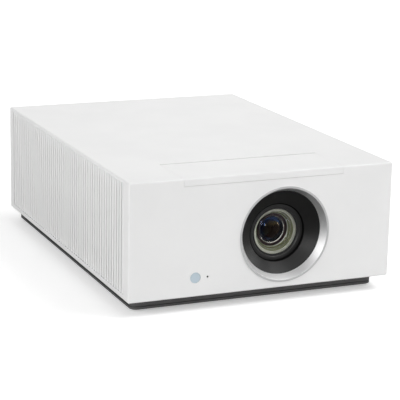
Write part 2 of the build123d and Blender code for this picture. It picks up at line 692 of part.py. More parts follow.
def control_bay_tray():
    half = LID_W / 2 + TRAY_LAP
    outer = half + TRAY_T
    ledge_z = OPENING_Z + HOOD_FLANGE_R + AIR
    y0 = FRONT + HOOD_END_DEPTH - TRAY_LAP
    y1 = FRONT + LID_D + TRAY_LAP
    floor = TRAY_Z + TRAY_T
    tray = block(-outer, outer, y0, y1, TRAY_Z, CEILING)
    tray -= block(-half, half, y0 + TRAY_T, y1 - TRAY_T, floor, CEILING + CUT)
    tray -= block(-outer, outer, y0, y0 + TRAY_T, ledge_z + TRAY_T, CEILING)
    tray += block(-outer, outer, INNER_FRONT + SEAM, y0 + TRAY_T, ledge_z, ledge_z + TRAY_T)
    cut_z = (TRAY_Z - CUT, floor + CUT)
    swing = TAB_REACH * sin(radians(RING_SWING)) + TAB_W / 2 + SHIFT_X + AIR
    for start in (FOCUS_Y, ZOOM_Y):
        middle = start + RING_GRIP_L / 2
        reach = TAB_T / 2 + AIR
        tray -= block(LENS_X - swing, LENS_X + swing, middle - reach, middle + reach, *cut_z)
    slot_x = LEAD_R + SHIFT_X + AIR
    slot_y = LEAD_R + AIR
    tray -= block(V_LEAD_X - slot_x, V_LEAD_X + slot_x, LEAD_Y - slot_y, LEAD_Y + slot_y, *cut_z)
    chord = sqrt(WHEEL_R**2 - (TRAY_Z - H_LEAD_Z) ** 2) + AIR
    tray -= block(WHEEL_X - SEAM, WHEEL_X + WHEEL_T + SEAM, LEAD_Y - chord, LEAD_Y + chord, *cut_z)
    for x in (WHEEL_X - SEAM - EAR_T, WHEEL_X + WHEEL_T + SEAM):
        ear = block(x, x + EAR_T, LEAD_Y - LUG_W / 2, LEAD_Y + LUG_W / 2, H_LEAD_Z - LUG_W / 2, TRAY_Z)
        tray += ear - rod("x", LEAD_Y, H_LEAD_Z, x - CUT, x + EAR_T + CUT, LEAD_R + RUN)
    return tray


# Lens


def lens_bezel():
    y1 = BEZEL_Y + BEZEL_L
    bevel = [(BARREL_BORE, BEZEL_Y + CELL_STEP), (BARREL_BORE + CELL_STEP, BEZEL_Y)]
    return turned([*bevel, (BEZEL_R, BEZEL_Y), (BEZEL_R, y1), (BARREL_BORE, y1)])


def lens_barrel():
    bore = BARREL_BORE
    rear_bore = REAR_BARREL_R - BARREL_T
    y0 = BEZEL_Y + BEZEL_L
    tail = SHOULDER_Y + REAR_BARREL_L
    collar_end = COLLAR_Y + COLLAR_L
    shoulder = SHOULDER_Y - BARREL_T
    return turned([
        (bore, y0), (BARREL_R, y0), (BARREL_R, COLLAR_Y), (COLLAR_R, COLLAR_Y),
        (COLLAR_R, collar_end), (BARREL_R, collar_end), (BARREL_R, SHOULDER_Y),
        (REAR_BARREL_R, SHOULDER_Y), (REAR_BARREL_R, tail),
        (rear_bore, tail), (rear_bore, shoulder), (bore, shoulder),
    ])


def rear_lens():
    radius = REAR_BARREL_R - BARREL_T - RUN
    y0 = SHOULDER_Y + REAR_GLASS_BACK
    return lens_glass(radius, y0, y0 + GLASS_EDGE, ZOOM_SAG, -ZOOM_SAG)


def grip_ring(start):
    """Turning ring with finger notches and a tab that stands up into the adjustment bay."""
    ring = tube(BARREL_R + RUN, RING_GRIP_R, start, start + RING_GRIP_L)
    notch = rod("y", RING_GRIP_R, 0, start - CUT, start + RING_GRIP_L + CUT, CELL_STEP)
    step = 360 / FINGER_NOTCHES
    ring -= [Pos(LENS_X, 0, LENS_Z) * Rot(0, (i + 0.5) * step, 0) * notch for i in range(FINGER_NOTCHES)]
    middle = start + RING_GRIP_L / 2
    root = RING_GRIP_R - BARREL_T
    tab = Box(TAB_W, TAB_T, TAB_REACH - root)
    return ring + Pos(LENS_X, middle, LENS_Z + (root + TAB_REACH) / 2) * tab


def focus_cell():
    """Cell of the front glass, with a stepped light baffle behind the glass."""
    end = FOCUS_CELL_Y + FOCUS_CELL_L
    seat = FRONT_GLASS_Y + FRONT_EDGE
    mouth = CELL_BORE - LAND_W
    rise = (mouth - BAFFLE_R) / (BAFFLE_STEPS - 1)
    run = (end - seat) / BAFFLE_STEPS
    outline = [(CELL_BORE, FOCUS_CELL_Y), (CELL_R, FOCUS_CELL_Y), (CELL_R, end)]
    for i in range(BAFFLE_STEPS):
        radius = BAFFLE_R + i * rise
        outline += [(radius, end - i * run), (radius, end - (i + 1) * run)]
    return turned([*outline, (CELL_BORE, seat)])


def front_lens():
    """Front glass, bowed at the front, with a hollow rear face inside a flat ground ring."""
    edge = CELL_BORE - RUN
    hollow = edge - LAND_W
    y1 = FRONT_GLASS_Y + FRONT_EDGE
    front = cap_arc(edge, FRONT_GLASS_Y, FRONT_SAG)
    rear = cap_arc(hollow, y1, FRONT_HOLLOW)
    rim = Polyline((edge, FRONT_GLASS_Y), (edge, y1), (hollow, y1))
    core = Line((0, FRONT_GLASS_Y - FRONT_SAG), (0, y1 - FRONT_HOLLOW))
    profile = make_face([front, *rim.edges(), rear, core])
    return Pos(LENS_X, 0, LENS_Z) * revolve(profile, Axis.Y)


def zoom_cell():
    """Sliding cell whose nose holds the zoom glass in front of a round stop."""
    nose = ZOOM_CELL_Y - ZOOM_NOSE_L
    seat = ZOOM_GLASS_Y + GLASS_EDGE
    end = ZOOM_CELL_Y + ZOOM_CELL_L
    nose_r = ZOOM_GLASS_R + CELL_STEP
    return turned([
        (ZOOM_GLASS_R, nose), (nose_r, nose), (nose_r, ZOOM_CELL_Y), (CELL_R, ZOOM_CELL_Y),
        (CELL_R, end), (STOP_R, end), (STOP_R, seat), (ZOOM_GLASS_R, seat),
    ])


def zoom_lens():
    rear = ZOOM_GLASS_Y + GLASS_EDGE
    return lens_glass(ZOOM_GLASS_R - RUN, ZOOM_GLASS_Y, rear, ZOOM_SAG, ZOOM_SAG / 2)


# Lens shift


def vertical_carriage():
    half_w = V_PLATE_W / 2
    half_h = V_PLATE_H / 2
    y1 = V_PLATE_Y + PLATE_T
    plate = block(LENS_X - half_w, LENS_X + half_w, V_PLATE_Y, y1, LENS_Z - half_h, LENS_Z + half_h)
    plate += rod("y", LENS_X, LENS_Z, FLANGE_Y, V_PLATE_Y, FLANGE_R)
    nut_x = (V_LEAD_X - LUG_W / 2, LENS_X - half_w)
    plate += block(*nut_x, LEAD_Y - LUG_W / 2, y1, LENS_Z - NUT_T / 2, LENS_Z + NUT_T / 2)
    plate -= rod("z", V_LEAD_X, LEAD_Y, LENS_Z - NUT_T, LENS_Z + NUT_T, LEAD_R + RUN)
    plate -= rod("y", LENS_X, LENS_Z, FLANGE_Y - CUT, y1 + CUT, BARREL_R + RUN)
    for side in (-1, 1):
        rod_x = LENS_X + side * V_ROD_X
        bore_z = (LENS_Z - half_h - CUT, LENS_Z + half_h + CUT)
        plate -= rod("z", rod_x, V_PLATE_Y + PLATE_T / 2, *bore_z, ROD_R + RUN)
    return plate


def vertical_guide_rods():
    y = V_PLATE_Y + PLATE_T / 2
    return [rod("z", LENS_X + side * V_ROD_X, y, LENS_Z - H_TOP, LENS_Z + H_TOP, ROD_R) for side in (-1, 1)]


def horizontal_carriage():
    x0, x1 = H_PLATE_X
    y1 = H_PLATE_Y + PLATE_T
    plate = block(x0, x1, H_PLATE_Y, y1, LENS_Z - H_TOP, LENS_Z + H_TOP)
    plate -= rod("y", LENS_X, LENS_Z, H_PLATE_Y - CUT, y1 + CUT, REAR_BARREL_R + SHIFT_Z + AIR)
    lug_front = V_PLATE_Y + SEAM
    half_lug = LUG_W / 2
    for side in (-1, 1):
        lug_x = LENS_X + side * V_ROD_X
        for end in (-1, 1):
            z0, z1 = LENS_Z + end * LUG_Z, LENS_Z + end * H_TOP
            plate += block(lug_x - half_lug, lug_x + half_lug, lug_front, H_PLATE_Y, z0, z1)
    arm_front = LEAD_Y - half_lug
    arm_x1 = LENS_X - V_PLATE_W / 2 - AIR
    plate += block(x0, arm_x1, arm_front, H_PLATE_Y, LENS_Z + LUG_Z, LENS_Z + H_TOP)
    low = LENS_Z - NUT_T / 2 - SHIFT_Z - AIR
    plate += block(x0, arm_x1, arm_front, H_PLATE_Y, low - LUG_T, low)
    plate += block(x1 - H_NUT_T, x1, arm_front, H_PLATE_Y, H_LEAD_Z - half_lug, H_LEAD_Z + half_lug)
    plate -= rod("z", V_LEAD_X, LEAD_Y, low - LUG_T - CUT, LENS_Z + H_TOP + CUT, LEAD_R + RUN)
    plate -= rod("x", LEAD_Y, H_LEAD_Z, x1 - H_NUT_T - CUT, x1 + CUT, LEAD_R + RUN)
    bore_z = (LENS_Z - H_TOP - CUT, LENS_Z + H_TOP + CUT)
    for side in (-1, 1):
        plate -= rod("z", LENS_X + side * V_ROD_X, V_PLATE_Y + PLATE_T / 2, *bore_z, ROD_R + RUN)
        bore_y = H_PLATE_Y + PLATE_T / 2
        plate -= rod("x", bore_y, LENS_Z + side * H_ROD_Z, x0 - CUT, x1 + CUT, ROD_R + RUN)
    return plate


def guide_rod_span():
    """Ends of the horizontal guide rods, and of the lugs that hold them."""
    clear = SHIFT_X + AIR
    return H_PLATE_X[0] - clear - LUG_T, H_PLATE_X[1] + clear + LUG_T


def horizontal_guide_rods():
    y = H_PLATE_Y + PLATE_T / 2
    return [rod("x", y, LENS_Z + side * H_ROD_Z, *guide_rod_span(), ROD_R) for side in (-1, 1)]


def lens_mount_frame():
    left, right = guide_rod_span()
    frame = block(left, right, FRAME_Y, FRAME_Y + FRAME_T, LENS_Z - FRAME_DROP, LENS_Z + H_TOP)
    frame -= rod("y", LENS_X, LENS_Z, FRAME_Y - CUT, FRAME_Y + FRAME_T + CUT, PORT_R)
    y = H_PLATE_Y + PLATE_T / 2
    for side in (-1, 1):
        z = LENS_Z + side * H_ROD_Z
        for x0, x1 in ((left, left + LUG_T), (right - LUG_T, right)):
            lug = block(x0, x1, y - LUG_W / 2, FRAME_Y, z - LUG_W / 2, z + LUG_W / 2)
            frame += lug - rod("x", y, z, x0 - CUT, x1 + CUT, ROD_R + RUN)
    return frame


def fluted_dial(radius, thickness):
    """Dial standing on the origin along Z, with finger flutes round its rim."""
    dial = rod("z", 0, 0, 0, thickness, radius)
    flute = rod("z", radius, 0, -CUT, thickness + CUT, CELL_STEP)
    step = 360 / FINGER_NOTCHES
    return dial - [Rot(0, 0, i * step) * flute for i in range(FINGER_NOTCHES)]


def vertical_dial():
    low = LENS_Z - NUT_T / 2 - SHIFT_Z - AIR - LUG_T
    dial_z = TRAY_Z + TRAY_T + AIR
    dial = Pos(V_LEAD_X, LEAD_Y, dial_z) * fluted_dial(DIAL_R, DIAL_H)
    return dial + rod("z", V_LEAD_X, LEAD_Y, low, dial_z, LEAD_R)


def horizontal_dial():
    wheel = Pos(WHEEL_X, LEAD_Y, H_LEAD_Z) * Rot(0, 90, 0) * fluted_dial(WHEEL_R, WHEEL_T)
    start = H_PLATE_X[1] - H_NUT_T - SHIFT_X - CUT
    return wheel + rod("x", LEAD_Y, H_LEAD_Z, start, WHEEL_X + WHEEL_T + SEAM + EAR_T, LEAD_R)


# Light engine


def engine_housing():
    x0, x1 = ENGINE_X
    top = ENGINE_Z + ENGINE_H
    wall = ENGINE_WALL
    box = block(x0, x1, ENGINE_Y, ENGINE_END, ENGINE_Z, top)
    box -= block(x0 + wall, x1 - wall, ENGINE_Y + wall, ENGINE_END - wall, ENGINE_Z + wall, top + CUT)
    box -= rod("y", LENS_X, LENS_Z, ENGINE_Y - CUT, ENGINE_Y + wall + CUT, PORT_R)
    chip_w, chip_h = DMD_W / 2 + FIT, DMD_H / 2 + FIT
    rear_wall = (ENGINE_END - wall - CUT, ENGINE_END + CUT)
    box -= block(LENS_X - chip_w, LENS_X + chip_w, *rear_wall, LENS_Z - chip_h, LENS_Z + chip_h)
    prism_end = ENGINE_END - wall - PRISM_BACK
    half = PRISM / 2
    box += block(LENS_X - half, LENS_X + half, prism_end - PRISM, prism_end, ENGINE_Z + wall, LENS_Z - half)
    wheel_y = prism_end - PRISM
    inside = x1 - wall
    box += rod("x", wheel_y, LENS_Z, inside - WHEEL_BOSS_L, inside, WHEEL_HUB_R)
    box -= rod("x", wheel_y, LENS_Z, inside - WHEEL_BOSS_L - CUT, inside, SPINDLE_R + RUN)
    return box


def engine_lid():
    top = ENGINE_Z + ENGINE_H
    return block(*ENGINE_X, ENGINE_Y, ENGINE_END, top, top + ENGINE_LID_T)


def prism():
    end = ENGINE_END - ENGINE_WALL - PRISM_BACK
    half = PRISM / 2
    return block(LENS_X - half, LENS_X + half, end - PRISM, end, LENS_Z - half, LENS_Z + half)


def colour_wheel():
    inside = ENGINE_X[1] - ENGINE_WALL
    face = inside - WHEEL_BOSS_L - SEAM
    y = ENGINE_END - ENGINE_WALL - PRISM_BACK - PRISM
    wheel = rod("x", y, LENS_Z, face - WHEEL_DISC_T, face, WHEEL_DISC_R)
    wheel += rod("x", y, LENS_Z, face - 2 * WHEEL_DISC_T, face, WHEEL_HUB_R)
    return wheel + rod("x", y, LENS_Z, face, inside - SEAM, SPINDLE_R)


def dmd_board():
    board = Pos(LENS_X, ENGINE_END + BOARD_T / 2, LENS_Z) * Box(DMD_BOARD_W, BOARD_T, DMD_BOARD_H)
    chip = Pos(LENS_X, ENGINE_END - ENGINE_WALL / 2, LENS_Z) * Box(DMD_W, ENGINE_WALL, DMD_H)
    return [board, chip]


def finned(width, length, height, base):
    """Heat sink standing on its base, with fins in a row along Y, from a corner at the origin."""
    sink = block(0, width, 0, length, 0, base)
    count = int((length - FIN_T) / FIN_PITCH) + 1
    fins = [block(0, width, i * FIN_PITCH, i * FIN_PITCH + FIN_T, base, height) for i in range(count)]
    return sink + fins


def dmd_heatsink():
    sink = Rot(-90, 0, 0) * finned(DMD_SINK_W, DMD_SINK_H, DMD_SINK_L, SINK_BASE)
    return Pos(LENS_X - DMD_SINK_W / 2, ENGINE_END + BOARD_T, LENS_Z + DMD_SINK_H / 2) * sink


def laser_module():
    x0 = ENGINE_X[1]
    y1 = ENGINE_END - LASER_BACK
    return block(x0, x0 + LASER_W, y1 - LASER_D, y1, LENS_Z - LASER_H / 2, LENS_Z + LASER_H / 2)


def heat_pipes():
    x = ENGINE_X[1] + LASER_W / 2
    end = REAR - FAN_REAR - FAN_GAP
    return [rod("y", x, DECK + height, ENGINE_END - LASER_BACK, end, PIPE_R) for height in PIPE_HEIGHTS]


def laser_heatsink():
    x = ENGINE_X[1] + LASER_W / 2
    end = REAR - FAN_REAR - FAN_GAP
    start = end - SINK_D
    sink = Pos(x - SINK_W / 2, start, DECK) * finned(SINK_W, SINK_D, SINK_H, SINK_BASE)
    for height in PIPE_HEIGHTS:
        sink -= rod("y", x, DECK + height, start - CUT, end + CUT, PIPE_R + RUN)
    return sink


# Cooling


def fan_frames():
    frames = []
    x0, x1 = FAN_X
    z = DECK + FAN / 2
    back = x1 - LUG_T
    for y in FAN_Y:
        frame = block(x0, x1, y - FAN / 2, y + FAN / 2, DECK, DECK + FAN)
        frame -= rod("x", y, z, x0 - CUT, x1 + CUT, FAN_BORE_R)
        frame += rod("x", y, z, back, x1, FAN_HUB_R)
        frame += block(back, x1, y - FAN_BORE_R - CUT, y + FAN_BORE_R + CUT, z - LUG_T / 2, z + LUG_T / 2)
        frame += block(back, x1, y - LUG_T / 2, y + LUG_T / 2, z - FAN_BORE_R - CUT, z + FAN_BORE_R + CUT)
        frames.append(frame - rod("x", y, z, back - CUT, x1 + CUT, SPINDLE_R + RUN))
    return frames


def fan_rotor(y):
    z = DECK + FAN / 2
    back = FAN_X[1] - LUG_T - SEAM
    front = FAN_X[0] + AIR
    radial = FAN_BORE_R - AIR - FAN_HUB_R + CUT
    blade = Rot(FAN_PITCH, 0, 0) * Box(radial, FAN_BLADE_T, FAN_BLADE_L)
    blade = Pos(FAN_HUB_R - CUT + radial / 2, 0, 0) * blade
    step = 360 / FAN_BLADES
    rotor = Cylinder(FAN_HUB_R, back - front) + [Rot(0, 0, i * step) * blade for i in range(FAN_BLADES)]
    rotor = Pos((front + back) / 2, y, z) * Rot(0, 90, 0) * rotor
    return rotor + rod("x", y, z, back, FAN_X[1], SPINDLE_R)


# Electronics


def main_board():
    y1 = IO_Y - IO_PLATE_T - FIT
    return block(IO_X - BOARD_W / 2, IO_X + BOARD_W / 2, y1 - BOARD_D, y1, BOARD_Z - BOARD_T, BOARD_Z)


def power_supply_board():
    """Board with its filter, transformer, capacitors and heat sink standing on it."""
    x0, x1, y0, y1 = supply_limits()
    low = DECK + SUPPLY_STAND
    top = low + BOARD_T
    crown = BOARD_Z - BOARD_T - AIR
    quarter = (x1 - x0) / 4
    edge = quarter / 2
    left, right = x0 + 3 * edge, x1 - edge
    parts = [block(x0, x1, y0, y1, low, top)]
    parts.append(block(x0 + edge, x0 + edge + SINK_BASE, y0 + SUPPLY_BAY, y1 - SUPPLY_BAY, top, crown))
    front = y0 + SUPPLY_BAY
    parts.append(block(left, right, front, front + TRANSFORMER_L, top, crown))
    rear = y1 - SUPPLY_BAY
    parts.append(block(left, right, rear - FILTER_L, rear, top, crown))
    middle = (front + TRANSFORMER_L + rear - FILTER_L) / 2
    for i in range(CAPACITORS):
        y = middle + (i - (CAPACITORS - 1) / 2) * (quarter + AIR)
        parts.append(rod("z", right - edge, y, top, crown, edge))
    return parts


def speaker_limits(side):
    """Speaker box limits (inner x, outer x, y0, y1)."""
    outer = side * (INNER_X - GRILLE_T - AIR - DRIVER_T)
    y0 = FRONT + SPEAKER_BACK
    return outer - side * SPEAKER_W, outer, y0, y0 + SPEAKER_D


def speaker_boxes():
    boxes = []
    for side in (-1, 1):
        inner, outer, y0, y1 = speaker_limits(side)
        box = block(inner, outer, y0, y1, DECK, DECK + SPEAKER_H)
        boxes.append(fillet(box.edges().filter_by(Axis.X), EDGE_R))
    return boxes


def speaker_drivers():
    drivers = []
    for side in (-1, 1):
        inner, outer, y0, y1 = speaker_limits(side)
        y = (y0 + y1) / 2
        z = DECK + SPEAKER_H / 2
        face = outer + side * DRIVER_T
        basket = rod("x", y, z, *sorted((outer, face)), DRIVER_R)
        depth = DRIVER_T / 2
        dish = Rot(0, side * 90, 0) * Cone(DRIVER_R / 2, DRIVER_R - DRIVER_T, depth)
        drivers.append(basket - Pos(face - side * depth / 2, y, z) * dish)
    return drivers


# Rear sockets


def socket_height(tall):
    """Sockets stand on the main board, with their mouths flush with the plate."""
    return BOARD_Z, BOARD_Z + tall


def metal_socket(x, width, tall):
    """Folded metal socket shell, open at the mouth, with a flat tongue inside."""
    z0, z1 = socket_height(tall)
    half = width / 2
    back = IO_Y - SOCKET_L
    inside = half - SOCKET_T
    body = block(x - half, x + half, back, IO_Y, z0, z1)
    body -= block(x - inside, x + inside, back + WALL, IO_Y + CUT, z0 + SOCKET_T, z1 - SOCKET_T)
    middle = (z0 + z1) / 2
    reach = half - WALL
    tongue = block(x - reach, x + reach, back + WALL, IO_Y - WALL, middle - SOCKET_T, middle + SOCKET_T)
    return body + tongue


def hdmi_sockets():
    return [metal_socket(x, HDMI_W, HDMI_H) for x in HDMI_X]


def usb_socket():
    return metal_socket(USB_X, USB_W, USB_H)


def lan_socket():
    z0, z1 = socket_height(LAN_H)
    half = LAN_W / 2
    inside = half - WALL
    back = IO_Y - SOCKET_L
    body = block(LAN_X - half, LAN_X + half, back, IO_Y, z0, z1)
    return body - block(LAN_X - inside, LAN_X + inside, back + WALL, IO_Y + CUT, z0 + WALL, z1 - WALL)


def audio_jack():
    z0, z1 = socket_height(JACK_BODY)
    z = (z0 + z1) / 2
    half = JACK_BODY / 2
    back = IO_Y - IO_PLATE_T - FIT
    body = block(JACK_X - half, JACK_X + half, IO_Y - SOCKET_L, back, z0, z1)
    body += rod("y", JACK_X, z, back, IO_Y + CUT, JACK_NOSE_R)
    return body - rod("y", JACK_X, z, IO_Y - SOCKET_L + WALL, IO_Y + CUT, JACK_R)


def io_plate():
    low = BOARD_Z - SOCKET_T - BOARD_T
    x0, x1 = IO_X - IO_W / 2, IO_X + IO_W / 2
    plate = block(x0 - WALL, x1 + WALL, IO_Y - IO_PLATE_T, IO_Y, low - WALL, low + IO_H + WALL)
    cuts = [(x, HDMI_W, HDMI_H) for x in HDMI_X] + [(USB_X, USB_W, USB_H), (LAN_X, LAN_W, LAN_H)]
    through = (IO_Y - IO_PLATE_T - CUT, IO_Y + CUT)
    for x, width, tall in cuts:
        z0, z1 = socket_height(tall)
        half = width / 2 + FIT
        plate -= block(x - half, x + half, *through, z0 - FIT, z1 + FIT)
    plate -= rod("y", JACK_X, BOARD_Z + JACK_BODY / 2, *through, JACK_NOSE_R + FIT)
    return plate


def ac_inlet():
    z = DECK + INLET_ABOVE_DECK
    half_w, half_h = INLET_W / 2, INLET_H / 2
    face = BACK_OUT + INLET_FLANGE_T
    back = face - INLET_DEPTH - INLET_WALL
    body = block(INLET_X - half_w, INLET_X + half_w, back, BACK_OUT, z - half_h, z + half_h)
    rim_w, rim_h = half_w + INLET_FLANGE, half_h + INLET_FLANGE
    body += block(INLET_X - rim_w, INLET_X + rim_w, BACK_OUT, face, z - rim_h, z + rim_h)
    well_w, well_h = half_w - INLET_WALL, half_h - INLET_WALL
    well_y = (face - INLET_DEPTH, face + CUT)
    well = block(INLET_X - well_w, INLET_X + well_w, *well_y, z - well_h, z + well_h)
    well = chamfer(well.edges().filter_by(Axis.Y).group_by(Axis.Z)[-1], INLET_CORNER)
    return body - well


def ac_pins():
    z = DECK + INLET_ABOVE_DECK
    base = BACK_OUT + INLET_FLANGE_T - INLET_DEPTH
    places = [(-PIN_PITCH, -PIN_RISE), (0, PIN_RISE), (PIN_PITCH, -PIN_RISE)]
    pin = block(-PIN_W / 2, PIN_W / 2, base, base + PIN_L, -PIN_H / 2, PIN_H / 2)
    return [Pos(INLET_X + x, 0, z + rise) * pin for x, rise in places]


def power_button():
    flange = BACK_IN - SEAM
    cap = rod("y", BUTTON_X, LENS_Z, flange, BACK_OUT + BUTTON_PROUD, BUTTON_R - SEAM)
    cap = fillet(cap.edges().group_by(Axis.Y)[-1], BUTTON_PROUD / 2)
    cap += rod("y", BUTTON_X, LENS_Z, flange - BUTTON_FLANGE, flange, BUTTON_R + BUTTON_FLANGE)
    switch_top = BACK_IN - SWITCH_POST_L + SWITCH / 2
    return cap + rod("y", BUTTON_X, LENS_Z, switch_top + BUTTON_TRAVEL + FIT, flange, SPINDLE_R)


def power_switch():
    half = SWITCH_BOARD / 2
    face = BACK_IN - SWITCH_POST_L
    board = block(BUTTON_X - half, BUTTON_X + half, face - BOARD_T, face, LENS_Z - half, LENS_Z + half)
    body = SWITCH / 2
    switch = block(BUTTON_X - body, BUTTON_X + body, face, face + body, LENS_Z - body, LENS_Z + body)
    return [board, switch]


PIECES = {
    "upper_cover": upper_cover(),
    "left_side_grille": side_grille(-1),
    "right_side_grille": side_grille(1),
    "rear_cover": rear_cover(),
    "bottom_pan": bottom_pan(),
    "plinth_frame": plinth_frame(),
    "base_plate": base_plate(),
    "ceiling_inserts": ceiling_inserts(),
    "case_screws": case_screws(),
    "rear_foot_pads": rear_foot_pads(),
    "front_left_foot": front_foot(-1),
    "front_right_foot": front_foot(1),
    "lens_trim_ring": lens_trim_ring(),
    "lens_hood": lens_hood(),
    "sensor_window": sensor_window(),
    "status_led": status_led(),
    "sensor_board": sensor_board(),
    "lid": lid(),
    "control_bay_tray": control_bay_tray(),
    "lens_bezel": lens_bezel(),
    "lens_barrel": lens_barrel(),
    "rear_lens": rear_lens(),
    "focus_ring": grip_ring(FOCUS_Y),
    "zoom_ring": grip_ring(ZOOM_Y),
    "focus_cell": focus_cell(),
    "front_lens": front_lens(),
    "zoom_cell": zoom_cell(),
    "zoom_lens": zoom_lens(),
    "vertical_carriage": vertical_carriage(),
    "vertical_guide_rods": vertical_guide_rods(),
    "horizontal_carriage": horizontal_carriage(),
    "horizontal_guide_rods": horizontal_guide_rods(),
    "lens_mount_frame": lens_mount_frame(),
    "vertical_dial": vertical_dial(),
    "horizontal_dial": horizontal_dial(),
    "engine_housing": engine_housing(),
    "engine_lid": engine_lid(),
    "prism": prism(),
    "colour_wheel": colour_wheel(),
    "dmd_board": dmd_board(),
    "dmd_heatsink": dmd_heatsink(),
    "laser_module": laser_module(),
    "heat_pipes": heat_pipes(),
    "laser_heatsink": laser_heatsink(),
    "fan_frames": fan_frames(),
    "fan_rotor_front": fan_rotor(FAN_Y[0]),
    "fan_rotor_rear": fan_rotor(FAN_Y[1]),
    "main_board": main_board(),
    "power_supply_board": power_supply_board(),
    "speaker_boxes": speaker_boxes(),
    "speaker_drivers": speaker_drivers(),
    "io_plate": io_plate(),
    "hdmi_sockets": hdmi_sockets(),
    "usb_socket": usb_socket(),
    "lan_socket": lan_socket(),
    "audio_jack": audio_jack(),
    "ac_inlet": ac_inlet(),
    "ac_pins": ac_pins(),
    "power_button": power_button(),
    "power_switch": power_switch(),
}

os.makedirs("parts", exist_ok=True)
for name, piece in PIECES.items():
    shape = Compound(children=piece) if isinstance(piece, list) else piece
    export_step(shape, f"parts/{name}.step")
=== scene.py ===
from math import pi, radians

import bmesh
import bpy
import numpy as np
from mathutils import Matrix, Vector


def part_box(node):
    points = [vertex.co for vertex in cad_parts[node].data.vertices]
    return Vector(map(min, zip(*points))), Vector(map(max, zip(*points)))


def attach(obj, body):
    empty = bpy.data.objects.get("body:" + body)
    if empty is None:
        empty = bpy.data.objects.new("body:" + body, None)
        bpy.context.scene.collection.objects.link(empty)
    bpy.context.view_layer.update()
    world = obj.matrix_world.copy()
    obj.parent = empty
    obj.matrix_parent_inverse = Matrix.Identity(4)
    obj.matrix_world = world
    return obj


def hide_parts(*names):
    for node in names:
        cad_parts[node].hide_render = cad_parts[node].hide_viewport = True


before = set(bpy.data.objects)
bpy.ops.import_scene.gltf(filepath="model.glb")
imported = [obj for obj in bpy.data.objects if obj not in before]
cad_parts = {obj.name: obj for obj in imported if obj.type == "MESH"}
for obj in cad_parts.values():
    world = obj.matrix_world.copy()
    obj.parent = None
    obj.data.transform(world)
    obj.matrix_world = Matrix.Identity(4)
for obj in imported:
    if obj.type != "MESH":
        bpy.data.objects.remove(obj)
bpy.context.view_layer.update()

# Home projector: white casing on a dark plinth, with a recessed lens behind a silver ring.
# Metres, in the frame of the solids: +X right as seen from the front, the front faces -Y, +Z up.


# Plinth: a base plate under a low frame, both moulded in dark grey plastic with a spark-eroded skin.
# Screws from below hold the pair to the sheet steel pan, and a shadow groove runs between the two.
def put(tree, kind, sockets=(), **properties):
    """Adds a shader node. Each socket takes a number, a colour or the output of another node."""
    node = tree.nodes.new(kind)
    for key, value in properties.items():
        setattr(node, key, value)
    for key, value in dict(sockets).items():
        if isinstance(value, bpy.types.NodeSocket):
            tree.links.new(value, node.inputs[key])
        else:
            node.inputs[key].default_value = value
    return node


def mixed(tree, share, first, second):
    """Colour that goes from the first to the second as the share goes from 0 to 1."""
    return put(tree, "ShaderNodeMix", {0: share, 6: first, 7: second}, data_type="RGBA").outputs[2]


def maths(tree, operation, first, second=0.0):
    """Output of one Math node."""
    return put(tree, "ShaderNodeMath", {0: first, 1: second}, operation=operation).outputs[0]


def effect_group(name, inputs, outputs):
    """Empty shader group with named sockets, with the two nodes at its ends."""
    group = bpy.data.node_groups.new(name, "ShaderNodeTree")
    for socket, kind, value in inputs:
        group.interface.new_socket(socket, in_out="INPUT", socket_type=kind).default_value = value
    for socket, kind in outputs:
        group.interface.new_socket(socket, in_out="OUTPUT", socket_type=kind)
    return group, put(group, "NodeGroupInput"), put(group, "NodeGroupOutput")


SKIN_SOCKETS = (
    ("Tone", "NodeSocketColor", (0.5, 0.5, 0.5, 1.0)),
    ("Shade", "NodeSocketColor", (0.4, 0.4, 0.4, 1.0)),
    ("Grain", "NodeSocketFloat", 900.0),
    ("Smooth", "NodeSocketFloat", 0.4),
    ("Rough", "NodeSocketFloat", 0.6),
)
SKIN_RESULTS = (("Color", "NodeSocketColor"), ("Roughness", "NodeSocketFloat"), ("Height", "NodeSocketFloat"))


def noise(tree, place, scale, detail):
    """Noise over the surface, from 0 to 1."""
    return put(tree, "ShaderNodeTexNoise", {"Vector": place, "Scale": scale, "Detail": detail}).outputs["Fac"]


def ranged(tree, value, low, high, first=0.0, last=1.0):
    """Value that goes from first to last as another goes from low to high."""
    return put(tree, "ShaderNodeMapRange", {
        "Value": value, "From Min": low, "From Max": high, "To Min": first, "To Max": last,
    }).outputs["Result"]


def end_skin(group, given, result, share, fine):
    """Ends a skin: colour goes from Tone to Shade by a share, gloss and relief follow a fine pattern."""
    colour = mixed(group, share, given.outputs["Tone"], given.outputs["Shade"])
    group.links.new(colour, result.inputs["Color"])
    gloss = ranged(group, fine, 0.3, 0.7, given.outputs["Smooth"], given.outputs["Rough"])
    group.links.new(gloss, result.inputs["Roughness"])
    group.links.new(fine, result.inputs["Height"])
    return group


CLOUDS_PER_GRAIN = 0.015


def moulded_skin():
    """Skin of a moulded or cast piece: slow clouds of tone and fine pores."""
    group, given, result = effect_group("moulded skin", SKIN_SOCKETS, SKIN_RESULTS)
    place = put(group, "ShaderNodeTexCoord").outputs["Object"]
    slow = maths(group, "MULTIPLY", given.outputs["Grain"], CLOUDS_PER_GRAIN)
    clouds = noise(group, place, slow, 3.0)
    pores = noise(group, place, given.outputs["Grain"], 2.0)
    return end_skin(group, given, result, ranged(group, clouds, 0.35, 0.65), pores)


MOULDED_SKIN = moulded_skin()


def new_finish(name, **constants):
    """Material with one Principled shader, whose plain sockets are set here."""
    material = bpy.data.materials.new(name)
    material.use_nodes = True
    tree = material.node_tree
    tree.nodes.clear()
    sockets = {key.replace("_", " "): value for key, value in constants.items()}
    shader = put(tree, "ShaderNodeBsdfPrincipled", sockets)
    end = put(tree, "ShaderNodeOutputMaterial")
    tree.links.new(shader.outputs["BSDF"], end.inputs["Surface"])
    return material, tree, shader


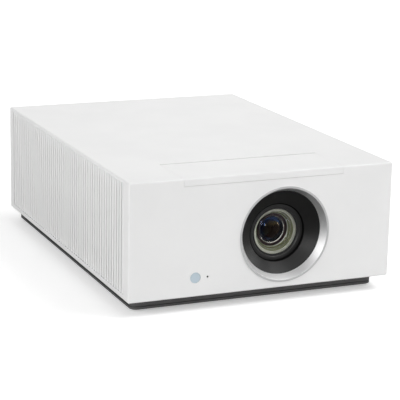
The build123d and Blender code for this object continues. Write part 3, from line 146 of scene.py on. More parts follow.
def skinned(name, group, depth, looks, **constants):
    """Finish that takes colour, roughness and relief from an effect group. depth is the relief in metres."""
    material, tree, shader = new_finish(name, **constants)
    skin = put(tree, "ShaderNodeGroup", looks, node_tree=group)
    relief = put(tree, "ShaderNodeBump", {
        "Height": skin.outputs["Height"], "Distance": depth, "Strength": 0.5,
    })
    tree.links.new(skin.outputs["Color"], shader.inputs["Base Color"])
    tree.links.new(skin.outputs["Roughness"], shader.inputs["Roughness"])
    tree.links.new(relief.outputs["Normal"], shader.inputs["Normal"])
    return material


def grey(level):
    """Neutral colour."""
    return (level, level, level, 1.0)


WELD = 2e-6
CREASE = radians(25)


def smooth_skin():
    """Joins a solid's loose triangles and shades them smooth, but for edges that bend more than CREASE."""
    group = bpy.data.node_groups.new("smooth skin", "GeometryNodeTree")
    group.interface.new_socket("Geometry", in_out="INPUT", socket_type="NodeSocketGeometry")
    group.interface.new_socket("Geometry", in_out="OUTPUT", socket_type="NodeSocketGeometry")
    given, result = put(group, "NodeGroupInput"), put(group, "NodeGroupOutput")
    bare = put(group, "GeometryNodeRemoveAttribute", {"Geometry": given.outputs[0], "Name": "custom_normal"})
    joined = put(group, "GeometryNodeMergeByDistance", {"Geometry": bare.outputs[0], "Distance": WELD})
    bend = put(group, "GeometryNodeInputMeshEdgeAngle").outputs["Unsigned Angle"]
    sharp = put(group, "FunctionNodeCompare", {0: bend, 1: CREASE}, operation="GREATER_THAN").outputs[0]
    soft = put(group, "GeometryNodeSetShadeSmooth", {"Geometry": joined.outputs[0]}, domain="FACE")
    creased = put(group, "GeometryNodeSetShadeSmooth", {
        "Geometry": soft.outputs[0], "Selection": sharp, "Shade Smooth": False,
    }, domain="EDGE")
    group.links.new(creased.outputs[0], result.inputs[0])
    return group


SMOOTH_SKIN = smooth_skin()


def dress(material, *names):
    """Gives solids of the frame their finish and smooth shading."""
    for name in names:
        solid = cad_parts[name]
        solid.data.materials.clear()
        solid.data.materials.append(material)
        solid.modifiers.new("smooth skin", "NODES").node_group = SMOOTH_SKIN
        solid.modifiers.new("even shading", "WEIGHTED_NORMAL").keep_sharp = True


dark_moulding = skinned("dark moulding", MOULDED_SKIN, 0.00006, {
    "Tone": grey(0.108), "Shade": grey(0.096), "Grain": 1300.0, "Smooth": 0.45, "Rough": 0.62,
})
dress(dark_moulding, "plinth_frame", "base_plate")
pan_paint = skinned("pan paint", MOULDED_SKIN, 0.00004, {
    "Tone": grey(0.030), "Shade": grey(0.024), "Grain": 700.0, "Smooth": 0.38, "Rough": 0.55,
})
dress(pan_paint, "bottom_pan")


# Feet: two rubber pads glued under the rear, and two moulded feet on threaded studs under the front corners.
# The front feet are turned by hand to level the picture, so their rims are fluted.
def eased(points, radius, steps=5):
    """Closed profile with its corners rounded: each corner P becomes the quadratic curve
    P + u d (1 - s)^2 + v d s^2, where u and v point along its two sides and d is at most radius."""
    corners = np.asarray(points, float)
    before, after = np.roll(corners, 1, 0) - corners, np.roll(corners, -1, 0) - corners
    size_before = np.linalg.norm(before, axis=1, keepdims=True)
    size_after = np.linalg.norm(after, axis=1, keepdims=True)
    reach = np.minimum(radius, 0.45 * np.minimum(size_before, size_after))
    share = np.linspace(0.0, 1.0, steps)[None, :, None]
    curve = corners[:, None] + (before / size_before * reach)[:, None] * (1 - share) ** 2
    curve = curve + (after / size_after * reach)[:, None] * share**2
    return curve.reshape(-1, 2)


def mesh_piece(name, points, faces, body, slot, materials, replaced=()):
    """Mesh object at the origin, smooth and with its faces outwards, that rides on a body."""
    mesh = bpy.data.meshes.new(name)
    mesh.from_pydata(points, [], faces)
    shell = bmesh.new()
    shell.from_mesh(mesh)
    bmesh.ops.recalc_face_normals(shell, faces=shell.faces)
    shell.to_mesh(mesh)
    shell.free()
    mesh.polygons.foreach_set("use_smooth", np.ones(len(mesh.polygons), bool))
    for material in materials:
        mesh.materials.append(material)
    piece = bpy.data.objects.new(name, mesh)
    bpy.context.collection.objects.link(piece)
    piece.modifiers.new("even shading", "WEIGHTED_NORMAL").keep_sharp = True
    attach(piece, body)
    if replaced:
        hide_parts(*replaced)
    return piece


def turned(profile, axis, centre, around=192, relief=None):
    """Points and faces of a surface turned about an axis along Y or Z through centre, the other two places.
    Profile point i, a radius and a place along the axis, is carried round by angle j. A profile that starts
    and ends on the axis is closed by two poles, and any other is a loop. relief gives (change of radius,
    change along the axis) for arrays of radius, place and angle."""
    profile = np.asarray(profile, float)
    poled = profile[0, 0] == 0.0
    angle = np.linspace(0.0, 2 * pi, around, endpoint=False)[None, :]
    rings = profile[1:-1] if poled else profile
    radius, along = np.broadcast_arrays(rings[:, :1], rings[:, 1:], angle)[:2]
    if relief:
        wider, further = relief(radius, along, angle)
        radius, along = radius + wider, along + further
    across, up = centre[0] + radius * np.sin(angle), centre[1] + radius * np.cos(angle)
    order = (across, along, up) if axis == "Y" else (across, up, along)
    points = np.stack(order, axis=-1).reshape(-1, 3)
    index = np.arange(len(points)).reshape(radius.shape)
    loop = index if poled else np.vstack([index, index[:1]])
    low, high = loop[:-1], loop[1:]
    faces = np.stack([low, np.roll(low, -1, 1), np.roll(high, -1, 1), high], axis=-1).reshape(-1, 4).tolist()
    if poled:
        first = len(points)
        for place in profile[[0, -1], 1]:
            pole = (centre[0], place, centre[1]) if axis == "Y" else (*centre, place)
            points = np.vstack([points, pole])
        for ring, pole in ((index[0], first), (index[-1], first + 1)):
            faces += np.stack([np.full(around, pole), np.roll(ring, -1), ring], axis=-1).tolist()
    return points, faces


def joined(shapes):
    """One set of points and faces from several."""
    starts = np.cumsum([0] + [len(points) for points, faces in shapes])
    points = np.vstack([points for points, faces in shapes])
    faces = [[start + corner for corner in face]
             for start, (_, some) in zip(starts, shapes) for face in some]
    return points, faces


def raised_cosine(turns):
    """Wave that is 0 at whole turns and 1 half way between them."""
    return 0.5 - 0.5 * np.cos(2 * pi * turns)


FOOT_R = 0.012
FOOT_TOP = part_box("base_plate")[0].z - 0.0002
FOOT_SOLE_R = 0.0085
FOOT_HOLLOW = 0.0002
FOOT_TREAD_R = 0.0095
FOOT_BEVEL = (0.0112, 0.0003)
FOOT_WALL_FROM = 0.0012
FOOT_SHOULDER_R = 0.0116
EASE = 0.0004
STUD_R = 0.004
STUD_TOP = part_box("front_left_foot")[1].z
FLUTES = 30
FLUTE_DEPTH = 0.0004
FLUTED_FROM = 0.9 * FOOT_R
THREAD_PITCH = 0.00125
THREAD_DEPTH = 0.0003
THREAD_POINTS = 120
foot_plastic = skinned("foot plastic", MOULDED_SKIN, 0.00003, {
    "Tone": grey(0.022), "Shade": grey(0.017), "Grain": 1500.0, "Smooth": 0.4, "Rough": 0.6,
})


def fluted_rim(radius, along, angle):
    """Flutes round the foot: the radius dips with the cosine of the angle, only on the outer rim."""
    on_rim = (radius > FLUTED_FROM) & (along < FOOT_TOP)
    return np.where(on_rim, -FLUTE_DEPTH * raised_cosine(FLUTES * angle / (2 * pi)), 0.0), 0.0


def middle_of(name):
    """Middle of a solid's box."""
    low, high = (np.array(corner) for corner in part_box(name))
    return (low + high) / 2


stud = np.linspace(FOOT_TOP, STUD_TOP, THREAD_POINTS)
stud_thread = np.column_stack([STUD_R - THREAD_DEPTH * raised_cosine(stud / THREAD_PITCH), stud])
foot_sole = [(0.0, FOOT_HOLLOW), (FOOT_SOLE_R, FOOT_HOLLOW), (FOOT_TREAD_R, 0.0), FOOT_BEVEL]
foot_wall = [(FOOT_R, FOOT_WALL_FROM), (FOOT_R, FOOT_TOP - EASE), (FOOT_SHOULDER_R, FOOT_TOP)]
foot_profile = np.vstack([foot_sole, foot_wall, stud_thread, [(0.0, STUD_TOP)]])
for name in ("front_left_foot", "front_right_foot"):
    foot = turned(foot_profile, "Z", middle_of(name)[:2], 240, fluted_rim)
    side = name.split("_")[1]
    mesh_piece(f"levelling_foot_{side}", *foot, name, "black_plastic", [foot_plastic], [name])

rubber = skinned("pad rubber", MOULDED_SKIN, 0.00008, {
    "Tone": grey(0.020), "Shade": grey(0.028), "Grain": 900.0, "Smooth": 0.7, "Rough": 0.92,
})
PAD_SOLE_R = 0.0102
PAD_HOLLOW = 0.0003
PAD_TREAD_R = 0.0107
PAD_BEVEL = (0.0114, 0.0002)
PAD_WALL_FROM = 0.0010
PAD_SHOULDER_R = 0.0117
low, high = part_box("rear_foot_pads")
pad_y = middle_of("rear_foot_pads")[1]
pad_profile = [(0.0, PAD_HOLLOW), (PAD_SOLE_R, PAD_HOLLOW), (PAD_TREAD_R, 0.0), PAD_BEVEL,
               (FOOT_R, PAD_WALL_FROM), (FOOT_R, high.z - EASE), (PAD_SHOULDER_R, high.z), (0.0, high.z)]
pads = [turned(pad_profile, "Z", (x, pad_y), 96) for x in (low.x + FOOT_R, high.x - FOOT_R)]
mesh_piece("rear_pads", *joined(pads), "casing", "rubber", [rubber], ["rear_foot_pads"])


# Casing: a white cover with a matching rear panel, two ribbed side grilles and a lid over the adjustment bay.
# All are moulded in the same satin plastic; the grilles snap in from inside and the rear panel is screwed on.
white_moulding = skinned("white moulding", MOULDED_SKIN, 0.00002, {
    "Tone": (0.815, 0.815, 0.812, 1.0), "Shade": (0.795, 0.795, 0.793, 1.0),
    "Grain": 1100.0, "Smooth": 0.50, "Rough": 0.64,
}, Specular_IOR_Level=0.3)
dress(white_moulding, "upper_cover", "rear_cover", "lid", "left_side_grille", "right_side_grille")


# Screws: six in counterbores under the plinth and four on the rear panel, zinc plated with a cross recess.
# Brass inserts for a ceiling bracket are pressed into the base plate.
def drawn_skin():
    """Skin of drawn, rolled or brushed metal: streaks of noise stretched along one axis."""
    sockets = (*SKIN_SOCKETS, ("Stretch", "NodeSocketVector", (1.0, 1.0, 1.0)))
    group, given, result = effect_group("drawn skin", sockets, SKIN_RESULTS)
    place = put(group, "ShaderNodeTexCoord").outputs["Object"]
    pulled = put(group, "ShaderNodeVectorMath", {0: place, 1: given.outputs["Stretch"]}, operation="MULTIPLY")
    streaks = noise(group, pulled.outputs[0], given.outputs["Grain"], 3.0)
    stains = noise(group, place, 35.0, 2.0)
    share = ranged(group, maths(group, "MULTIPLY", streaks, stains), 0.12, 0.4)
    return end_skin(group, given, result, share, streaks)


DRAWN_SKIN = drawn_skin()
HEAD_R = 0.003
HEAD_H = 0.0013
HEAD_POINTS = 14
DOME_DROP = 0.35
SHANK_R = 0.0015
CROSS_HALF_W = 0.00045
CROSS_TAPER = 1.15
CROSS_REACH = 0.0019
CROSS_DEPTH = 0.0009
CROSS_WALL = 0.00012
CROSS_WITHIN = 0.7 * HEAD_H
screw_zinc = skinned("screw zinc", DRAWN_SKIN, 0.00001, {
    "Tone": (0.62, 0.63, 0.66, 1.0), "Shade": (0.45, 0.45, 0.47, 1.0),
    "Grain": 1500.0, "Smooth": 0.22, "Rough": 0.4, "Stretch": (1.0, 1.0, 0.2),
}, Metallic=1.0)


def cross_recess(face, inward):
    """Relief of a cross slot: the face sinks by CROSS_DEPTH where either arm of the cross lies over it."""
    def sink(radius, along, angle):
        across, up = np.abs(radius * np.sin(angle)), np.abs(radius * np.cos(angle))
        longer = np.maximum(across, up)
        arm = np.minimum(across, up) - CROSS_HALF_W * (CROSS_TAPER - longer / CROSS_REACH)
        share = np.clip(-arm / CROSS_WALL, 0.0, 1.0) * (np.abs(along - face) < CROSS_WITHIN)
        return 0.0, inward * CROSS_DEPTH * share * (longer < CROSS_REACH)
    return sink


def screw(axis, centre, seat, outward, shank):
    """Pan head screw on a seat: the head's height falls with the cube of the distance from the axis, and a
    plain shank runs the other way."""
    head = np.linspace(0.0, 1.0, HEAD_POINTS)[:, None]
    dome = np.column_stack([HEAD_R * head, seat + outward * HEAD_H * (1.0 - DOME_DROP * head**3)])
    tip = seat - outward * shank
    tail = [(HEAD_R, seat), (SHANK_R, seat), (SHANK_R, tip), (0.0, tip)]
    recess = cross_recess(seat + outward * HEAD_H, -outward)
    return turned(np.vstack([dome, tail]), axis, centre, 96, recess)


REAR_SCREW_SHANK = 0.0092
REAR_SCREW_Z = 0.0245
COUNTERBORE = 0.0026
PAN_BITE = 0.0023
BASE_SCREW_SIDE = 0.008
BASE_SCREW_END = 0.0477
BASE_SCREW_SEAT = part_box("base_plate")[0].z + COUNTERBORE
BASE_SCREW_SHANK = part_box("bottom_pan")[0].z + PAN_BITE - BASE_SCREW_SEAT
low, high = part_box("case_screws")
rear_seat = high.y - HEAD_H
rear_x = (low.x + HEAD_R, high.x - HEAD_R)
rear_z = (REAR_SCREW_Z, high.z - HEAD_R)
low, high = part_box("plinth_frame")
base_x = (low.x + BASE_SCREW_SIDE, high.x - BASE_SCREW_SIDE)
base_y = (low.y + BASE_SCREW_END, middle_of("plinth_frame")[1], high.y - BASE_SCREW_END)
screws = [screw("Y", (x, z), rear_seat, 1.0, REAR_SCREW_SHANK) for x in rear_x for z in rear_z]
screws += [screw("Z", (x, y), BASE_SCREW_SEAT, -1.0, BASE_SCREW_SHANK) for x in base_x for y in base_y]
mesh_piece("casing_screws", *joined(screws), "casing", "steel", [screw_zinc], ["case_screws"])

insert_brass = skinned("insert brass", DRAWN_SKIN, 0.00001, {
    "Tone": (0.70, 0.52, 0.24, 1.0), "Shade": (0.52, 0.36, 0.15, 1.0),
    "Grain": 900.0, "Smooth": 0.25, "Rough": 0.42, "Stretch": (1.0, 1.0, 6.0),
}, Metallic=1.0)
dress(insert_brass, "ceiling_inserts")


# Lens opening: a silver ring, its slope turned and its rim blasted, snaps into the front over a black hood.
# The hood is moulded with fine ring grooves. Its cone leans down to the lens, which lies a little low,
# and ends in a flocked band against stray light; its near-black is painted shade for the gap to the bezel.
OPENING = middle_of("lens_trim_ring")[[0, 2]]
FACE = -0.2144
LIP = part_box("lens_trim_ring")[0].y
RING_R = 0.0534
LIP_W = 0.0024
RIM_R = 0.0466
RIM_Y = FACE + 0.0084
SLEEVE_R = 0.0526
RING_EASE = 0.00025
BLASTED_DEPTH = 0.00004


def off_axis(tree, place, axes, centre):
    """Steps away from an axis along two directions, and the distance from it."""
    parts = put(tree, "ShaderNodeSeparateXYZ", {0: place}).outputs
    across, up = (maths(tree, "SUBTRACT", parts[axis], middle) for axis, middle in zip(axes, centre))
    squares = maths(tree, "ADD", maths(tree, "POWER", across, 2.0), maths(tree, "POWER", up, 2.0))
    return across, up, maths(tree, "SQRT", squares)


def turning_lines():
    """Fine lines that a lathe leaves: noise that changes only with the distance from an axis along Y."""
    sockets = (*SKIN_SOCKETS, ("Axis", "NodeSocketFloat", OPENING[1]))
    group, given, result = effect_group("turning lines", sockets, SKIN_RESULTS)
    place = put(group, "ShaderNodeTexCoord").outputs["Object"]
    _, _, reach = off_axis(group, place, "XZ", (OPENING[0], given.outputs["Axis"]))
    depth = put(group, "ShaderNodeSeparateXYZ", {0: place}).outputs["Y"]
    lines = put(group, "ShaderNodeTexNoise", {
        "W": maths(group, "ADD", reach, depth), "Scale": given.outputs["Grain"], "Detail": 2.0,
    }, noise_dimensions="1D").outputs["Fac"]
    clouds = noise(group, place, 60.0, 2.0)
    share = maths(group, "MULTIPLY", lines, maths(group, "ADD", clouds, 0.5))
    return end_skin(group, given, result, ranged(group, share, 0.3, 0.7), lines)


TURNING_LINES = turning_lines()
ring_silver = skinned("ring silver", TURNING_LINES, 0.000004, {
    "Tone": (0.88, 0.88, 0.88, 1.0), "Shade": (0.80, 0.80, 0.805, 1.0),
    "Grain": 2600.0, "Smooth": 0.46, "Rough": 0.56,
}, Metallic=1.0)
blasted_silver = skinned("blasted silver", MOULDED_SKIN, 0.00001, {
    "Tone": (0.53, 0.53, 0.535, 1.0), "Shade": (0.48, 0.48, 0.485, 1.0),
    "Grain": 2400.0, "Smooth": 0.5, "Rough": 0.65,
}, Metallic=0.15)
ring_profile = [(RING_R, LIP), (RING_R, FACE), (SLEEVE_R, FACE), (SLEEVE_R, RIM_Y), (RIM_R, RIM_Y),
                (RING_R - LIP_W, LIP)]
ring = mesh_piece("silver_trim_ring", *turned(eased(ring_profile, RING_EASE), "Y", OPENING, 256),
                  "casing", "silver_ring", [ring_silver, blasted_silver], ["lens_trim_ring"])

HOOD_END_R = 0.0316
HOOD_END = FACE + 0.020
HOOD_TAIL = FACE + 0.021
HOOD_WALL = 0.002
# Width of the near-black end band, painted shade for the gap between the hood and the bezel.
SHADE_BAND_W = 0.0013
SHADE_BAND_RUN = SHADE_BAND_W * (HOOD_END - RIM_Y) / (RIM_R - HOOD_END_R)
COLLAR_R = 0.0548
FLANGE_R = 0.0558
HOLE_R = 0.0528
INNER_FACE = FACE + 0.0025
HOOD_EASE = 0.0003
HOOD_EASE_STEPS = 5
GROOVES = 26
GROOVE_DEPTH = 0.000045
GROOVE_STEPS = 8
hood_black = skinned("hood black", MOULDED_SKIN, 0.00002, {
    "Tone": grey(0.0045), "Shade": grey(0.0035), "Grain": 1600.0, "Smooth": 0.36, "Rough": 0.48,
}, Specular_IOR_Level=0.5)
# Near-black matt band at the hood's end: painted shade that stands in for the shadow gap to the bezel.
hood_flock_and_painted_shade = skinned("hood flock and painted shade", MOULDED_SKIN, 0.00005, {
    "Tone": grey(0.002), "Shade": grey(0.003), "Grain": 2500.0, "Smooth": 0.9, "Rough": 1.0,
}, Specular_IOR_Level=0.1)
hood_profile = [
    (RIM_R, RIM_Y), (HOOD_END_R + SHADE_BAND_W, HOOD_END - SHADE_BAND_RUN), (HOOD_END_R, HOOD_END),
    (HOOD_END_R, HOOD_TAIL), (HOOD_END_R + HOOD_WALL, HOOD_TAIL),
    (RIM_R + HOOD_WALL, RIM_Y + HOOD_WALL), (COLLAR_R, RIM_Y + HOOD_WALL), (COLLAR_R, INNER_FACE + HOOD_WALL),
    (FLANGE_R, INNER_FACE + HOOD_WALL), (FLANGE_R, INNER_FACE), (HOLE_R, INNER_FACE), (HOLE_R, RIM_Y),
]
LENS = middle_of("lens_bezel")[[0, 2]]


def grooved(profile, first):
    """Profile whose side after point first is cut by shallow rings: it sinks by a raised cosine along the
    side, at right angles to it."""
    start, end = profile[first], profile[first + 1]
    share = np.linspace(0.0, 1.0, GROOVES * GROOVE_STEPS + 1)[1:-1, None]
    side = (end - start) / np.linalg.norm(end - start)
    sink = GROOVE_DEPTH * raised_cosine(GROOVES * share) * np.array([side[1], -side[0]])
    return np.vstack([profile[:first + 1], start + (end - start) * share + sink, profile[first + 1:]])


def leaning(points, faces):
    """Surface whose points sink from the ring's axis to the lens axis, in step with the cone's depth."""
    share = np.clip((points[:, 1] - RIM_Y) / (HOOD_END - RIM_Y), 0.0, 1.0)
    return np.column_stack([points[:, :2], points[:, 2] + share * (LENS[1] - OPENING[1])]), faces


hood_section = grooved(eased(hood_profile, HOOD_EASE, HOOD_EASE_STEPS), HOOD_EASE_STEPS - 1)
hood = mesh_piece("hood_cone", *leaning(*turned(hood_section, "Y", OPENING, 256)),
                  "casing", "black_plastic", [hood_black, hood_flock_and_painted_shade], ["lens_hood"])


def face_places(piece):
    """Distance of each face's middle from the lens axis, and its place along it."""
    middle = np.empty(len(piece.data.polygons) * 3)
    piece.data.polygons.foreach_get("center", middle)
    middle = middle.reshape(-1, 3)
    return np.hypot(middle[:, 0] - LENS[0], middle[:, 2] - LENS[1]), middle[:, 1]


def paint(piece, zone):
    """Gives each face the material whose number its zone holds."""
    piece.data.polygons.foreach_set("material_index", zone.astype(np.int32))


_, along = face_places(ring)
paint(ring, along < LIP + BLASTED_DEPTH)
out, _ = face_places(hood)
# Faces near the hood's end take the near-black band of painted shade.
paint(hood, out < HOOD_END_R + SHADE_BAND_W)


# Lens front: a black anodised bezel, the sliding front cell with its stepped baffle, and the front glass.
# The glass is bowed outside and hollow inside, with a flat ground ring that rests on the cell.
BEZEL_Y = -0.1921
BEZEL_END = -0.1862
BEZEL_R = 0.0365
BEZEL_BEVEL = 0.001
BEZEL_EASE = 0.0003
BARREL_BORE = 0.0275
bezel_black = skinned("bezel anodised", TURNING_LINES, 0.000012, {
    "Tone": grey(0.022), "Shade": grey(0.016), "Grain": 1500.0, "Smooth": 0.36, "Rough": 0.5, "Axis": LENS[1],
}, Specular_IOR_Level=0.5)
bezel_profile = [(BARREL_BORE, BEZEL_Y + BEZEL_BEVEL), (BARREL_BORE + BEZEL_BEVEL, BEZEL_Y),
                 (BEZEL_R, BEZEL_Y), (BEZEL_R, BEZEL_END), (BARREL_BORE, BEZEL_END)]
mesh_piece("front_bezel", *turned(eased(bezel_profile, BEZEL_EASE), "Y", LENS, 256),
           "vertical_carriage", "black_metal", [bezel_black], ["lens_bezel"])

CELL_Y = BEZEL_Y + 0.0012
CELL_END = CELL_Y + 0.010
CELL_R = 0.02744
CELL_BORE = 0.02544
GLASS_Y = CELL_Y + 0.0005
GLASS_SEAT = GLASS_Y + 0.003
LAND_W = 0.003
BAFFLE_R = 0.0190
BAFFLE_STEPS = 5
BRIGHT_STEP = 2
EDGE_CUT = 0.0006
CELL_EASE = 0.00012
CELL_EASE_STEPS = 4
NEAR = 0.0001
step_r = BAFFLE_R + np.arange(BAFFLE_STEPS) * (CELL_BORE - LAND_W - BAFFLE_R) / (BAFFLE_STEPS - 1)
step_y = CELL_END - np.arange(BAFFLE_STEPS + 1) * (CELL_END - GLASS_SEAT) / BAFFLE_STEPS
stairs = np.column_stack([np.repeat(step_r, 2), np.column_stack([step_y[:-1], step_y[1:]]).ravel()])
bevel = [(BAFFLE_R, step_y[1] + EDGE_CUT), (BAFFLE_R + EDGE_CUT, step_y[1])]
stairs = np.vstack([stairs[:1], bevel, stairs[2:]])
baffle_olive = skinned("baffle olive", TURNING_LINES, 0.00004, {
    "Tone": (0.70, 0.70, 0.50, 1.0), "Shade": (0.26, 0.27, 0.14, 1.0),
    "Grain": 620.0, "Smooth": 0.35, "Rough": 0.55, "Axis": LENS[1],
}, Specular_IOR_Level=0.4)
cut_edge = skinned("cut edge", TURNING_LINES, 0.000004, {
    "Tone": (0.86, 0.86, 0.82, 1.0), "Shade": (0.74, 0.74, 0.70, 1.0),
    "Grain": 3000.0, "Smooth": 0.22, "Rough": 0.34, "Axis": LENS[1],
}, Metallic=1.0)
cell_tube = [(CELL_BORE, CELL_Y), (CELL_R, CELL_Y), (CELL_R, CELL_END)]
cell_profile = eased(np.vstack([cell_tube, stairs, [(CELL_BORE, GLASS_SEAT)]]), CELL_EASE, CELL_EASE_STEPS)
cell = mesh_piece("front_cell", *turned(cell_profile, "Y", LENS, 256),
                  "focus_group", "black_metal", [bezel_black, baffle_olive, cut_edge], ["focus_cell"])
out, along = face_places(cell)
on_baffle = out < CELL_BORE - 4 * NEAR
on_edge = (out > BAFFLE_R + NEAR) & (out < BAFFLE_R + 0.9 * EDGE_CUT) & (along < CELL_END - NEAR)
on_edge |= (out > step_r[BRIGHT_STEP] + NEAR) & (out < step_r[BRIGHT_STEP + 1] - NEAR)
paint(cell, np.where(on_edge, 2, on_baffle))


def bowl(radius, rim, sag, count=40):
    """Profile of a spherical face from the axis to its rim: a point at a distance out from the axis lies
    R - sqrt(R^2 - out^2) behind the apex, for a sphere of radius R, and the rim lies sag behind it."""
    sphere = (radius**2 + sag**2) / (2 * sag)
    out = np.linspace(0.0, radius, count)
    return np.column_stack([out, rim - sag + sphere - np.sqrt(sphere**2 - out**2)])


def coated_glass(name, tint, reflection):
    """Clear glass whose coating weakens and colours its reflections, with a trace of haze in patches."""
    material, tree, shader = new_finish(name, Transmission_Weight=1.0, IOR=1.5, Specular_Tint=reflection)
    haze = noise(tree, put(tree, "ShaderNodeTexCoord").outputs["Object"], 220.0, 3.0)
    tree.links.new(mixed(tree, haze, grey(1.0), tint), shader.inputs["Base Color"])
    tree.links.new(ranged(tree, haze, 0.55, 0.9, 0.0, 0.03), shader.inputs["Roughness"])
    return material


GLASS_R = 0.02538
FRONT_SAG = 0.002
HOLLOW_SAG = 0.003
AIR = 0.00006
SAME = 0.00001
front_glass = coated_glass("front glass", (0.95, 0.98, 0.93, 1.0), (0.10, 0.12, 0.20, 1.0))
ground_ring = skinned("ground glass ring", MOULDED_SKIN, 0.00001, {
    "Tone": (0.93, 0.93, 0.84, 1.0), "Shade": (0.86, 0.87, 0.76, 1.0),
    "Grain": 2500.0, "Smooth": 0.55, "Rough": 0.75,
})
GLASS_BACK = GLASS_SEAT - AIR
front_bow = bowl(GLASS_R, GLASS_Y, FRONT_SAG)
hollow = bowl(GLASS_R - LAND_W, GLASS_BACK, HOLLOW_SAG)
glass_edge = [(GLASS_R, GLASS_BACK)]
glass = mesh_piece("front_glass", *turned(np.vstack([front_bow, glass_edge, hollow[::-1]]), "Y", LENS, 256),
                   "focus_group", "glass", [front_glass, ground_ring], ["front_lens"])
out, along = face_places(glass)
on_land = (np.abs(along - GLASS_BACK) < SAME) & (out > GLASS_R - LAND_W)
paint(glass, on_land | (out > GLASS_R - SAME))


# Zoom group: a sliding cell, black inside and reddish grey on its shoulder, whose nose holds a bowed glass.
# The glass has coatings that gleam amber in the middle, blue round it and red at the back.
# Cam pins in the barrel, which isn't seen, carry it along the axis.
ZOOM_CELL_Y = -0.1744
ZOOM_NOSE_Y = ZOOM_CELL_Y - 0.006
ZOOM_END = ZOOM_CELL_Y + 0.012
ZOOM_GLASS_Y = ZOOM_NOSE_Y + 0.001
ZOOM_SEAT = ZOOM_GLASS_Y + 0.006
ZOOM_R = 0.015
STOP_R = 0.011
NOSE_R = ZOOM_R + 0.001
NOSE_FLAT = 0.0003
NOSE_EASE = 0.0002
cell_black = skinned("cell anodised", TURNING_LINES, 0.00001, {
    "Tone": (0.020, 0.017, 0.018, 1.0), "Shade": (0.012, 0.010, 0.011, 1.0),
    "Grain": 1900.0, "Smooth": 0.3, "Rough": 0.45, "Axis": LENS[1],
})
shoulder_grey = skinned("shoulder anodised", TURNING_LINES, 0.00002, {
    "Tone": (0.300, 0.205, 0.210, 1.0), "Shade": (0.140, 0.088, 0.092, 1.0),
    "Grain": 900.0, "Smooth": 0.3, "Rough": 0.45, "Axis": LENS[1],
})
zoom_profile = [
    (ZOOM_R, ZOOM_NOSE_Y + EDGE_CUT), (NOSE_R - NOSE_FLAT, ZOOM_NOSE_Y), (NOSE_R, ZOOM_NOSE_Y),
    (NOSE_R, ZOOM_CELL_Y), (CELL_R, ZOOM_CELL_Y), (CELL_R, ZOOM_END),
    (STOP_R, ZOOM_END), (STOP_R, ZOOM_SEAT), (ZOOM_R, ZOOM_SEAT),
]
nose = mesh_piece("zoom_cell_nose", *turned(eased(zoom_profile, NOSE_EASE), "Y", LENS, 192),
                  "zoom_group", "black_metal", [cell_black, cut_edge, shoulder_grey], ["zoom_cell"])
out, along = face_places(nose)
on_bevel = (along < ZOOM_NOSE_Y + EDGE_CUT) & (out < NOSE_R - NOSE_FLAT)
on_shoulder = (along < ZOOM_CELL_Y + NOSE_EASE) & (out > NOSE_R - NOSE_FLAT)
paint(nose, np.where(on_shoulder, 2, on_bevel))

AMBER_R = 0.0105
ZOOM_SAG = 0.003
ZOOM_HOLLOW_SAG = 0.0015
BACK_FROM = ZOOM_SEAT - 0.0025
ZOOM_TINT = (0.93, 0.95, 1.0, 1.0)
amber_glass = coated_glass("amber coated glass", ZOOM_TINT, (0.80, 0.57, 0.27, 1.0))
blue_glass = coated_glass("blue coated glass", ZOOM_TINT, (0.12, 0.34, 1.0, 1.0))
red_glass = coated_glass("red coated glass", ZOOM_TINT, (0.30, 0.05, 0.04, 1.0))
zoom_bow = bowl(ZOOM_R - AIR, ZOOM_GLASS_Y, ZOOM_SAG)
zoom_hollow = bowl(ZOOM_R - AIR, ZOOM_SEAT - AIR, ZOOM_HOLLOW_SAG)
zoom_glass = mesh_piece("zoom_glass", *turned(np.vstack([zoom_bow, zoom_hollow[::-1]]), "Y", LENS, 192),
                        "zoom_group", "glass", [amber_glass, blue_glass, red_glass], ["zoom_lens"])
out, along = face_places(zoom_glass)
paint(zoom_glass, np.where(along > BACK_FROM, 2, out > AMBER_R))


# Lens barrel: two anodised tubes in one piece, with the rear glass set in the narrow one.
# It is pressed into the vertical carriage.
green_glass = coated_glass("green coated glass", (0.94, 1.0, 0.95, 1.0), (0.06, 0.16, 0.10, 1.0))
dress(cell_black, "lens_barrel")
dress(green_glass, "rear_lens")


# Receiver window and status light: a pale tinted disc for the remote control, and a dark light pipe.
# Both are pressed in from inside and stop just below the casing's face.
def round_place(name):
    """Centre (x, z), front and back of a round piece whose axis lies along Y."""
    low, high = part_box(name)
    return middle_of(name)[[0, 2]], low.y, high.y


window_at, window_y, window_back = round_place("sensor_window")
WINDOW_R = 0.00594
WINDOW_DOME = 0.0002
WINDOW_FLANGE_R = 0.008
WINDOW_FLANGE = 0.002
window_tint = skinned("window tint", MOULDED_SKIN, 0.000002, {
    "Tone": (0.515, 0.605, 0.67, 1.0), "Shade": (0.475, 0.565, 0.635, 1.0),
    "Grain": 500.0, "Smooth": 0.12, "Rough": 0.2,
}, Coat_Weight=0.3)
window_dome = bowl(WINDOW_R - WINDOW_DOME, window_y + WINDOW_DOME, WINDOW_DOME, 16)
flange_front = window_back - WINDOW_FLANGE
window_body = [(WINDOW_R, window_y + 2 * WINDOW_DOME), (WINDOW_R, flange_front),
               (WINDOW_FLANGE_R, flange_front), (WINDOW_FLANGE_R, window_back), (0.0, window_back)]
mesh_piece("receiver_window", *turned(np.vstack([window_dome, window_body]), "Y", window_at, 96),
           "casing", "window", [window_tint], ["sensor_window"])

led_at, led_y, led_back = round_place("status_led")
LED_R = 0.00104
LED_DOME = 0.0003
led_pipe = skinned("light pipe", MOULDED_SKIN, 0.000002, {
    "Tone": (0.012, 0.013, 0.015, 1.0), "Shade": (0.020, 0.020, 0.024, 1.0),
    "Grain": 2500.0, "Smooth": 0.15, "Rough": 0.3,
})
led_profile = np.vstack([bowl(LED_R, led_y + LED_DOME, LED_DOME, 10), [(LED_R, led_back), (0.0, led_back)]])
mesh_piece("status_light", *turned(led_profile, "Y", led_at, 48),
           "casing", "led", [led_pipe], ["status_led"])


